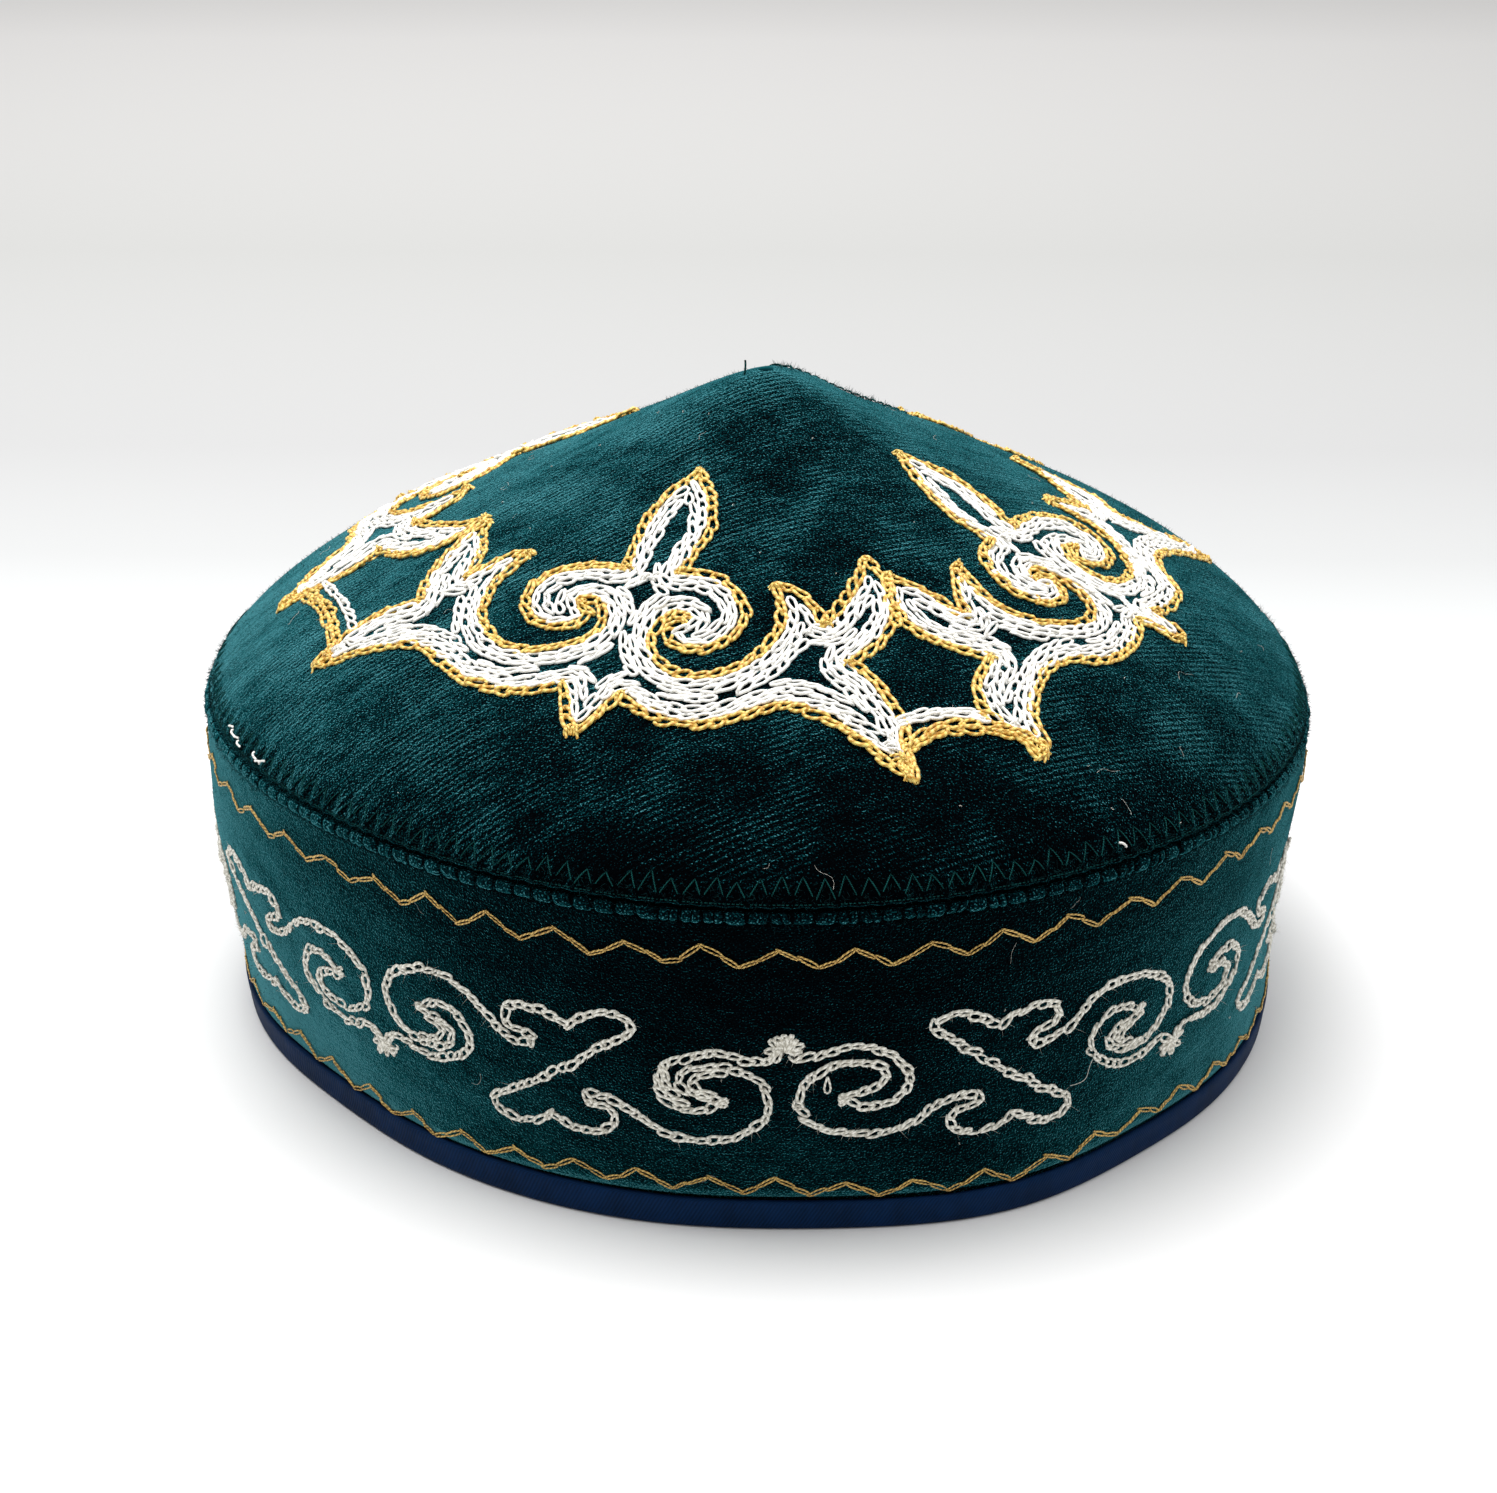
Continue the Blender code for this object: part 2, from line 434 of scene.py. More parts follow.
def set_inputs(made, values):
    """Give a node its input values."""
    for key, value in values.items():
        made.inputs[key].default_value = value


def node(tree, kind, inputs=None, **settings):
    """A node with its settings and input values."""
    made = tree.nodes.new(kind)
    for key, value in settings.items():
        setattr(made, key, value)
    set_inputs(made, inputs or {})
    return made


def link(tree, source, target):
    """Join an output socket to an input socket."""
    tree.links.new(source, target)


def color_ramp(tree, factor, stops):
    """A ramp of (place, colour) stops on a factor."""
    ramp = node(tree, "ShaderNodeValToRGB")
    while len(ramp.color_ramp.elements) < len(stops):
        ramp.color_ramp.elements.new(0.5)
    for element, (place, color) in zip(ramp.color_ramp.elements, stops):
        element.position = place
        element.color = (*color, 1.0)
    link(tree, factor, ramp.inputs["Fac"])
    return ramp.outputs["Color"]


def combine(tree, operation, first, second):
    """What a math operation makes of two sockets."""
    made = node(tree, "ShaderNodeMath", operation=operation)
    link(tree, first, made.inputs[0])
    link(tree, second, made.inputs[1])
    return made.outputs[0]


def add_up(tree, *terms):
    """The sum of (socket, weight) terms."""
    total = None
    for socket, weight in terms:
        scaled = node(tree, "ShaderNodeMath", {1: weight}, operation="MULTIPLY")
        link(tree, socket, scaled.inputs[0])
        total = scaled.outputs[0] if total is None else combine(tree, "ADD", total, scaled.outputs[0])
    return total


def bands(tree, vector, pitch, direction="X", **shape):
    """Even lines across a vector in millimetres, one to each pitch."""
    wave = node(tree, "ShaderNodeTexWave", {"Scale": 0.314 / pitch, **shape}, bands_direction=direction)
    link(tree, vector, wave.inputs["Vector"])
    return wave.outputs["Fac"]


def clouds(tree, vector, size, detail=3.0, roughness=0.6):
    """Noise whose patches are about a size across, in the vector's unit."""
    noise = node(tree, "ShaderNodeTexNoise", {"Scale": 1 / size, "Detail": detail, "Roughness": roughness})
    link(tree, vector, noise.inputs["Vector"])
    return noise.outputs["Fac"]


def contrast(tree, factor, low, high, floor=0.0):
    """A factor stretched from low to high, and never under a floor."""
    stretched = node(tree, "ShaderNodeMapRange", {"From Min": low, "From Max": high, "To Min": floor})
    link(tree, factor, stretched.inputs[0])
    return stretched.outputs[0]


def multiply(tree, total, *others):
    """The product of factors."""
    for factor in others:
        total = combine(tree, "MULTIPLY", total, factor)
    return total


def cloth_vector(tree, turn=0.0, stretch=1.0):
    """Places on the flat cloth in millimetres, turned and stretched along the first way."""
    flat = node(tree, "ShaderNodeUVMap", uv_map="cloth")
    turned = node(tree, "ShaderNodeMapping", {"Rotation": (0, 0, turn)})
    link(tree, flat.outputs[0], turned.inputs["Vector"])
    if stretch == 1.0:
        return turned.outputs[0]
    stretched = node(tree, "ShaderNodeMapping", {"Scale": (stretch, 1.0, 1.0)})
    link(tree, turned.outputs[0], stretched.inputs["Vector"])
    return stretched.outputs[0]


def raise_relief(tree, height, shader):
    """Use a height in millimetres as the shader's bump."""
    bump = node(tree, "ShaderNodeBump", {"Strength": 1.0, "Distance": MM})
    link(tree, height, bump.inputs["Height"])
    link(tree, bump.outputs["Normal"], shader.inputs["Normal"])
    return bump.outputs["Normal"]


# Painted sheen in the velvet's colour, by how far it turns from the viewer: nearly black face on, teal at a
# slant
PAINTED_SHEEN_SHADES = (
    (0.02, (0.0002, 0.0004, 0.0008)), (0.22, (0.0002, 0.0010, 0.0017)), (0.36, (0.0002, 0.0030, 0.0043)),
    (0.48, (0.0003, 0.0094, 0.0124)), (0.585, (0.0006, 0.0240, 0.0288)), (0.75, (0.0036, 0.0670, 0.0770)),
    (0.88, (0.0230, 0.1380, 0.1610)), (1.00, (0.0680, 0.2400, 0.2720)),
)
NAP_SCALE = 0.5
# Sizes of the velvet's details in millimetres
RIB_PITCH = 1.05
TUFT_SIZE = 0.36
SPECK_SIZE = 0.27
PATCH_SIZE = 14.0
STREAK_SIZE = 9.0
CRUSH_SIZE = 2.6
# Between which places painted light lightens the velvet towards the left, the lamp's side, and towards the
# hem, lit from the floor, in millimetres
LEFT_LIGHT_SHIFT = (90, -90)
HEM_BOUNCE_SHIFT = (42, 8)
# What varies the velvet: how deep it goes in millimetres, how far it shifts the shade, and its mean
Layer = namedtuple("Layer", "factor relief share mean")


def velvet(name, crushed, rib_depth=0.0, rib_turn=0.0, grain=1.0, painted_sheen_share=1.0, lighter=0.0,
           hem_bounce_share=0.0, left_light_share=0.15, left_light_mean=0.5):
    """Bottle-green velvet: ribs broken into tufts, pile laid in streaks, painted sheen and painted light in
    its colour.
    """
    material, tree, shader = new_material(name)
    lie = cloth_vector(tree, rib_turn)
    tufts = clouds(tree, lie, TUFT_SIZE, detail=1.0)
    ribs = bands(tree, lie, RIB_PITCH, "Y", Distortion=0.6, Detail=1.0)
    patches = contrast(tree, clouds(tree, lie, PATCH_SIZE, detail=2.0), 0.42, 0.62, floor=0.12)
    dashes = multiply(tree, ribs, contrast(tree, tufts, 0.38, 0.60), patches)
    specks = contrast(tree, clouds(tree, lie, SPECK_SIZE, detail=0.0, roughness=0.5), 0.56, 0.74)
    streaks = clouds(tree, cloth_vector(tree, rib_turn, 0.55), STREAK_SIZE, detail=2.0, roughness=0.55)
    crush = clouds(tree, cloth_vector(tree, rib_turn, 0.85), CRUSH_SIZE, detail=2.0)
    place = node(tree, "ShaderNodeSeparateXYZ")
    link(tree, node(tree, "ShaderNodeTexCoord").outputs["Object"], place.inputs[0])
    lit_from_left = contrast(tree, place.outputs["X"], *(edge * MM for edge in LEFT_LIGHT_SHIFT))
    bounce_lit_hem = contrast(tree, place.outputs["Z"], *(edge * MM for edge in HEM_BOUNCE_SHIFT))
    layers = (
        # painted light from the lamp's side and from the floor's bounce
        Layer(lit_from_left, 0.0, left_light_share, left_light_mean),
        Layer(bounce_lit_hem, 0.0, hem_bounce_share, 0.0),
        Layer(dashes, 0.07 * rib_depth, 0.26 * rib_depth, 0.12),
        Layer(tufts, 0.14, 0.50 * grain, 0.5),
        Layer(specks, 0.04, 0.38 * grain, 0.08),
        Layer(streaks, 0.9 * crushed, 0.42 * crushed, 0.5),
        Layer(crush, 0.35 * crushed, 0.24 * crushed, 0.5),
    )
    normal = raise_relief(tree, add_up(tree, *((layer.factor, layer.relief) for layer in layers)), shader)
    # painted sheen: the colour follows how far the cloth turns from the viewer
    turned = node(tree, "ShaderNodeLayerWeight", {"Blend": 0.5})
    link(tree, normal, turned.inputs["Normal"])
    shifts = [(layer.factor, layer.share * NAP_SCALE) for layer in layers]
    shade = add_up(tree, (turned.outputs["Facing"], painted_sheen_share * NAP_SCALE), *shifts)
    middle = sum(layer.share * layer.mean for layer in layers) - lighter
    stops = tuple(((value + middle) * NAP_SCALE, color) for value, color in PAINTED_SHEEN_SHADES)
    link(tree, color_ramp(tree, shade, stops), shader.inputs["Base Color"])
    set_inputs(shader, {"Roughness": 0.9, "Specular IOR Level": 0.01, "Sheen Weight": 0.25,
                        "Sheen Roughness": 0.3, "Sheen Tint": (0.008, 0.15, 0.165, 1.0)})
    return material


def backing_cloth():
    """The velvet's wrong side: a plain woven ground."""
    material, tree, shader = new_material("backing_cloth")
    lie = cloth_vector(tree)
    weave = add_up(tree, *((bands(tree, lie, 0.8, way, Distortion=0.3), 0.5) for way in "XY"))
    shade = add_up(tree, (weave, 0.5), (clouds(tree, lie, 12.0), 0.5))
    color = color_ramp(tree, shade, ((0.2, (0.003, 0.018, 0.020)), (0.8, (0.012, 0.058, 0.062))))
    link(tree, color, shader.inputs["Base Color"])
    raise_relief(tree, add_up(tree, (weave, 0.12)), shader)
    set_inputs(shader, {"Roughness": 0.9, "Specular IOR Level": 0.1})
    return material


def tape_cloth():
    """Smooth navy tape: a fine diagonal weave with a soft gloss."""
    material, tree, shader = new_material("tape_cloth")
    twill = bands(tree, cloth_vector(tree, math.radians(45)), 0.42, "X", Distortion=0.6, Detail=2.0)
    cloudy = clouds(tree, cloth_vector(tree), 5.0, detail=4.0)
    shade = add_up(tree, (twill, 0.3), (cloudy, 0.7))
    color = color_ramp(tree, shade, ((0.3, (0.0004, 0.0095, 0.033)), (0.7, (0.0015, 0.0210, 0.080))))
    link(tree, color, shader.inputs["Base Color"])
    raise_relief(tree, add_up(tree, (twill, 0.04), (cloudy, 0.25)), shader)
    set_inputs(shader, {"Roughness": 0.6, "Specular IOR Level": 0.06})
    return material


def thread(name, slot, dark, light, roughness, twist, sheen=0.0, fuzz=1.0, gloss=0.5):
    """Twisted thread: the plies' slanting lines with painted shade and highlight along them, loose fibres in
    the bump.
    """
    material, tree, shader = new_material(name)
    lie = cloth_vector(tree)
    plies = bands(tree, lie, twist, "X", Distortion=0.8, Detail=1.0)
    place = node(tree, "ShaderNodeTexCoord").outputs["Object"]
    fibres = clouds(tree, place, 0.3 * MM, roughness=0.7)
    uneven = clouds(tree, place, 3.5 * MM)
    # painted shade and highlight: darker in the lows between the plies, lighter on their crowns
    shade = add_up(tree, (plies, 0.35), (uneven, 0.45), (fibres, 0.25))
    color = color_ramp(tree, shade, ((0.36, dark), (0.68, light)))
    link(tree, color, shader.inputs["Base Color"])
    raise_relief(tree, add_up(tree, (plies, 0.07), (fibres, 0.05 * fuzz)), shader)
    set_inputs(shader, {"Roughness": roughness, "Sheen Weight": sheen, "Specular IOR Level": gloss})
    return Finish(slot, (material,))


CROWN_VELVET = velvet("crown_velvet", crushed=1.0, rib_depth=1.2, rib_turn=math.radians(RIB_LINE),
                      left_light_share=0.22, left_light_mean=0.62)
BAND_VELVET = velvet("band_velvet", crushed=0.6, rib_depth=0.2, grain=0.6, hem_bounce_share=0.20)
# Painted light: a lighter copy of the velvet for the puffs' rounded fronts, which catch the light
LIT_EDGE_VELVET = velvet("lit_edge_velvet", crushed=0.9, grain=1.2, painted_sheen_share=0.6, lighter=0.34)
# Painted shade: a darker copy of the velvet for the groove and the slits between the puffs
SHADE_VELVET = velvet("painted_shade_velvet", crushed=0.3, painted_sheen_share=0.7, lighter=0.02)
BACKING = backing_cloth()
CROWN_CLOTH = Finish("crown_velvet", (CROWN_VELVET, BACKING, SHADE_VELVET))
BAND_CLOTH = Finish("band_velvet", (BAND_VELVET, BACKING))
EDGE_CLOTH = Finish("band_velvet", (LIT_EDGE_VELVET, SHADE_VELVET))
TAPE = Finish("binding_tape", (tape_cloth(),))
GOLD = thread("gold_thread", "gold_thread", dark=(0.56, 0.27, 0.020), light=(1.0, 0.76, 0.20),
              roughness=0.32, twist=0.75, sheen=0.15)
# Painted shade: a darker copy of the gold thread for the band's waves, where the band's front gets less
# light
SHADED_GOLD = thread("shaded_gold_thread", "gold_thread", dark=(0.32, 0.165, 0.026), light=(0.88, 0.60, 0.17),
                   roughness=0.5, twist=0.5, sheen=0.1, fuzz=1.5)
WHITE = thread("white_thread", "white_thread", dark=(0.88, 0.86, 0.80), light=(1.0, 0.985, 0.94),
               roughness=0.38, twist=0.75, sheen=0.2)
WOOL = thread("wool_thread", "wool_thread", dark=(0.58, 0.55, 0.46), light=(1.0, 0.98, 0.89),
              roughness=0.8, twist=0.6, sheen=0.4, fuzz=2.0, gloss=0.3)
SEWING = thread("sewing_thread", "sewing_thread", dark=(0.001, 0.012, 0.013), light=(0.008, 0.100, 0.094),
                roughness=0.8, twist=0.35, gloss=0.06)
CROWN_FLUFF = thread("velvet_fluff", "crown_velvet", dark=(0.001, 0.016, 0.018), light=(0.010, 0.13, 0.135),
                     roughness=0.8, twist=0.8, gloss=0.08)
BAND_FLUFF = CROWN_FLUFF._replace(slot="band_velvet")


# Cloth pieces

# The crown's rows: fine ones from the seam to a slant share, wider ones on to beside the tip
CROWN_FINE_END = 0.945
CROWN_TOP = 0.012
STITCH_PULL = 0.26
EDGE_TUCK = 0.30
HALF_GAP = 0.15


def crown_uv(quads, turn, slant):
    """Places of corners on the flat cloth, laid out from the cloth's own seam."""
    value = turn[quads % len(turn)]
    value = np.where(value < CLOTH_SEAM - 1e-6, value + 360, value)
    late = value.max(axis=1, keepdims=True) - value > 180
    value = np.where(late, value + 360, value)
    angle = np.radians((value - 360 - CLOTH_SEAM) * CONE_FACTOR)
    radius = slant[quads // len(turn)] * SLANT
    return np.stack((radius * np.sin(angle), radius * np.cos(angle)), axis=-1).reshape(-1, 2)


def make_crown():
    """The crown's shell: outside with its dents and stitch pulls, plain inside."""
    columns = STITCH_COUNT * 4
    turn = np.arange(columns) * 360 / columns
    slant = np.concatenate((np.linspace(1.0, CROWN_FINE_END, 14)[:-1],
                            np.linspace(CROWN_FINE_END, CROWN_TOP, 36)))
    inner_slant = np.linspace(1.0, CROWN_TOP, 16)
    turns, slants = np.meshgrid(turn, slant)
    down = (1 - slants) * SLANT
    beat = np.cos(2 * math.pi * turns / 360 * STITCH_COUNT)
    pull = STITCH_PULL * (beat - 0.4) * smoothstep(6.0, 1.5, down)
    tuck = -EDGE_TUCK * smoothstep(0.8, 0.0, down)
    outside, _ = CROWN.read(turns, slants, pull + tuck)
    inside, _ = CROWN.read(*np.meshgrid(turn, inner_slant), -CROWN_WALL)
    outside[0, :, 2] = inside[0, :, 2] = SEAM_HEIGHT + HALF_GAP
    tip, _ = CROWN.read(0.0, 0.0)
    tip = np.array((*APEX, tip[2]))
    points = np.vstack((outside.reshape(-1, 3), inside.reshape(-1, 3), tip, tip - (0, 0, CROWN_WALL)))
    rows, inner_rows = len(slant), len(inner_slant)
    inner_first = rows * columns
    quads = grid_faces(rows, columns)
    inner = grid_faces(inner_rows, columns, inner_first, flip=True)
    column = np.arange(columns)
    after = (column + 1) % columns
    rim = np.stack((column + inner_first, after + inner_first, after, column), axis=1)
    last, inner_last = (rows - 1) * columns, inner_first + (inner_rows - 1) * columns
    peak, inner_peak = len(points) - 2, len(points) - 1
    fan = np.stack((last + column, last + after, np.full(columns, peak)), axis=1)
    inner_fan = np.stack((inner_last + after, inner_last + column, np.full(columns, inner_peak)), axis=1)
    faces = [quads, inner, rim, fan, inner_fan]
    plain = np.zeros((rim.size + fan.size + inner_fan.size, 2))
    uv = (crown_uv(quads, turn, slant), crown_uv(inner - inner_first, turn, inner_slant), plain)
    # The crown's three materials by number: velvet outside, its back inside, painted shade in the groove
    kinds = np.concatenate([np.full(len(part), kind) for part, kind in zip(faces, (0, 1, 1, 0, 1))])
    in_groove_shade = down[(quads // columns).min(axis=1), 0] < GROOVE_REACH
    kinds[:len(quads)][in_groove_shade] = 2
    crown = add_mesh("crown_cloth", points, faces, np.vstack(uv), kinds)
    finish_piece(crown, CROWN_CLOTH, replaces=["crown"])


# The wall's rows of points: it stands back under the tape up to a height, then rises to the puffs
# and turns in under them, with the inside's rows from the top down
BAND_COLUMNS = 480
BAND_FOOT = 1.4
BAND_TOP = 55.9
UNDER_TAPE = 6.0
UNDER_TAPE_ROWS = (BAND_FOOT, 5.2, 5.5)
UNDER_TAPE_BACK = -0.9
UNDER_PUFFS = 53.2
UNDER_PUFFS_END = 53.7
TOP_BACK = -1.2
BAND_INSIDE_ROWS = np.array((BAND_TOP, 45.0, 30.0, 15.0, BAND_FOOT))


def make_band():
    """The upright velvet wall up to the puffed edge, and its plain inside."""
    arc = even_arcs(BAND_COLUMNS)
    wall = np.linspace(UNDER_TAPE, UNDER_PUFFS, 30)
    heights = np.concatenate((UNDER_TAPE_ROWS, wall, (UNDER_PUFFS_END,)))
    proud = np.where(heights < UNDER_TAPE, UNDER_TAPE_BACK, 0.0)
    outside, _ = band_point(*np.meshgrid(arc, heights), proud[:, None])
    top, _ = band_point(arc[None], BAND_TOP, TOP_BACK)
    inside, _ = band_point(*np.meshgrid(arc, BAND_INSIDE_ROWS), -BAND_WALL)
    rings = np.concatenate((outside, top, inside))
    quads = shell_faces(len(rings), BAND_COLUMNS)
    # The cloth runs on over the top and down the inside
    levels = np.concatenate((heights, (56.5,), 57 + (56 - BAND_INSIDE_ROWS)))
    turned_in = (quads // BAND_COLUMNS).max(axis=1) > len(heights)
    band = add_mesh("band_cloth", rings.reshape(-1, 3), [quads],
                    shell_uv(quads, BAND_COLUMNS, levels), np.where(turned_in, 1, 0))
    finish_piece(band, BAND_CLOTH, replaces=["band"])


# The puffs between two stitches: the range of their sizes, how many are split in two and how far
# their stitches lean. The edge's round section has a middle, half a depth and half a height, and a
# puff of size 1 adds to both.
PUFF_SIZES = (0.45, 1.2)
SPLIT_SHARE = 0.25
PUFF_LEAN = 0.3
PUFF_OUT = -0.70
PUFF_HEIGHT = 54.45
PUFF_DEEP = (0.62, 0.42)
PUFF_TALL = (0.95, 0.15)
PUFF_SECTION = np.radians(np.array((-88, -66, -44, -22, 0, 22, 44, 66, 88, 120)))
PUFF_BACK_ROWS = np.array(((55.6,), (53.4,)))
PUFF_BACK = -1.3
PUFF_ROW_LEVEL = 0.4


def make_edge_puffs():
    """The band's top edge: velvet puffed up between the stitches that hold the crown."""
    columns = STITCH_COUNT * PUFF_COLUMNS
    phase = np.arange(columns) / PUFF_COLUMNS
    number = np.floor(phase).astype(int) % STITCH_COUNT
    size = random.uniform(*PUFF_SIZES, STITCH_COUNT)[number]
    split = (random.uniform(0, 1, STITCH_COUNT) < SPLIT_SHARE)[number]
    share = phase % 1.0
    swell = smoothstep(0.0, 0.24, np.minimum(share, 1 - share)) * size
    swell = swell * (1 - 0.6 * split * np.exp(-((share - 0.5) / 0.08) ** 2))
    lean = random.normal(0, PUFF_LEAN, STITCH_COUNT)[number]
    arcs, turns = np.meshgrid(even_arcs(columns), PUFF_SECTION)
    out = PUFF_OUT + (PUFF_DEEP[0] + PUFF_DEEP[1] * swell) * np.cos(turns)
    height = PUFF_HEIGHT + (PUFF_TALL[0] + PUFF_TALL[1] * swell) * np.sin(turns)
    front, _ = band_point(arcs + lean * np.sin(turns), height, out)
    back, _ = band_point(arcs[:2], PUFF_BACK_ROWS, PUFF_BACK)
    rings = np.concatenate((front, back))
    quads = shell_faces(len(rings), columns)
    left = unwrapped(quads, columns).min(axis=1)
    # Painted shade: the slits between puffs, their splits and the rows behind take the darker velvet
    behind = (quads // columns).min(axis=1) >= len(PUFF_SECTION) - 3
    in_slit = np.isin(left % PUFF_COLUMNS, (0, PUFF_COLUMNS - 1))
    in_split = split[left % columns] & (left % PUFF_COLUMNS == PUFF_COLUMNS // 2)
    puffs = add_mesh("band_edge_puffs", rings.reshape(-1, 3), [quads],
                     shell_uv(quads, columns, np.arange(len(rings)) * PUFF_ROW_LEVEL),
                     np.where(in_slit | in_split | behind, 1, 0))
    finish_piece(puffs, EDGE_CLOTH)


# The tape's section from its outer top edge round to its inner one and back up between wall and
# tape: how far out, share of the tape's height, and height above that
TAPE_HEIGHT = 5.35
TAPE_ROW_LEVEL = 0.6
Fold = namedtuple("Fold", "out share base")
TAPE_FOLDS = (
    Fold(-0.45, 1, -0.9), Fold(-0.35, 1, -0.12), Fold(0, 1, 0), Fold(0.38, 1, -0.06), Fold(0.58, 1, -0.35),
    Fold(0.55, 0.72, 0), Fold(0.42, 0.5, 0), Fold(0.42, 0.3, 0), Fold(0.34, 0, 0.62), Fold(0.18, 0, 0.2),
    Fold(-0.3, 0, 0), Fold(-3.1, 0, 0), Fold(-3.65, 0, 0.25), Fold(-3.8, 0, 0.7), Fold(-3.85, 0.5, 0),
    Fold(-3.8, 0.9, 0), Fold(-3.5, 1, 0), Fold(-3.0, 1, 0), Fold(-2.75, 1, -0.4), Fold(-2.75, 0, 1.2),
    Fold(-0.55, 0, 1.2),
)


def make_binding():
    """Navy tape folded round the lower edge, a little uneven along its stitched top."""
    arc = even_arcs(BAND_COLUMNS)
    angle = arc / RIM_LENGTH * 2 * math.pi
    top = TAPE_HEIGHT + 0.25 * wobble(angle, 21) + 0.08 * wobble(angle, 22, (31, 43, 57))
    rings = []
    for fold in reversed(TAPE_FOLDS):
        height = top * fold.share + fold.base
        place, _ = PLAN.read(arc, fold.out + flare_at(height) + band_relief(arc, height))
        rings.append(np.column_stack((place, height)))
    quads = shell_faces(len(rings), BAND_COLUMNS)
    levels = np.arange(len(rings)) * TAPE_ROW_LEVEL
    binding = add_mesh("binding_tape", np.vstack(rings), [quads], shell_uv(quads, BAND_COLUMNS, levels))
    finish_piece(binding, TAPE, replaces=["hem_binding"])


# Threads

# How far along the thread a ply runs while it turns once round it
PLY_SLANT = 0.75


def tube(path, outward, radius, sides, closed=False, flatten=1.0):
    """Rings of points round threads whose paths lie on a surface."""
    if closed:
        along = unit(np.roll(path, -1, axis=-2) - np.roll(path, 1, axis=-2))
    else:
        along = unit(np.gradient(path, axis=-2))
    aside = unit(np.cross(outward, along))
    above = np.cross(along, aside)
    turn = np.arange(sides) / sides * 2 * math.pi
    return path[..., None, :] + np.asarray(radius)[..., None, None] * (
        aside[..., None, :] * np.cos(turn)[:, None] + above[..., None, :] * np.sin(turn)[:, None] * flatten)


def ring_quads(count, sides, closed):
    """Quads of one tube of rings, and its corner places along and round."""
    ring, side = np.meshgrid(np.arange(count if closed else count - 1), np.arange(sides), indexing="ij")
    ring, side = ring.ravel(), side.ravel()
    here, after = ring * sides, (ring + 1) % count * sides
    beside = (side + 1) % sides
    quads = np.stack((here + side, after + side, after + beside, here + beside), axis=1)
    along = np.stack((ring, ring + 1, ring + 1, ring), axis=1)
    around = np.stack((side, side, side + 1, side + 1), axis=1)
    return quads, along, around


# A link's height over the cloth in thread radii, how much higher it lies on the link before it, and
# how much lower where it comes out of the cloth
LINK_HEIGHT = 0.55
LINK_RISE = 0.8
LINK_DIP = 1.4


class LinkShape:
    """One chain stitch: a loop of thread, narrow where it comes out, round where the next holds it."""

    def __init__(self, rings, sides, overlap, pinch, slant=0.0):
        self.rings, self.sides, self.slant = rings, sides, slant
        turn = np.arange(rings) / rings * 2 * math.pi
        self.along = -overlap + (1 + overlap) * (0.5 - 0.5 * np.cos(turn))
        self.aside = np.sin(turn) * (1 - pinch * np.cos(turn))
        self.aside /= self.aside.max()
        start = np.exp(-((self.along + overlap - 0.22) / 0.2) ** 2)
        foot = np.exp(-((self.along + overlap) / 0.1) ** 2)
        self.above = LINK_HEIGHT + LINK_RISE * start - LINK_DIP * foot
        self.quads, self.at_along, self.at_around = ring_quads(rings, sides, True)


GOLD_LINK = LinkShape(13, 5, 0.34, 0.45, 0.12)
FILL_LINK = LinkShape(11, 5, 0.34, 0.38, 0.10)
WOOL_LINK = LinkShape(11, 5, 0.38, 0.40, 0.13)
WAVE_LINK = LinkShape(12, 4, 0.12, 0.15)

# How chain stitches differ: swing in radians, widening and thickness as shares, skew and lift in
# millimetres, and how far one side lies over the other, in thread radii
LINK_SWING = 0.07
LINK_WIDENING = (-0.15, 0.13)
LINK_THICKNESS = (0.9, 1.12)
LINK_SKEW = 0.06
LINK_LIFT = 0.05
LINK_ROLL = 0.25
ROLL_SPREAD = 0.35
# Shares of a row's pitch: how far its stitches drift along it, and how short it may be
LINK_DRIFT = 0.06
SHORTEST_ROW = 0.6
THREAD_FLATNESS = 0.85


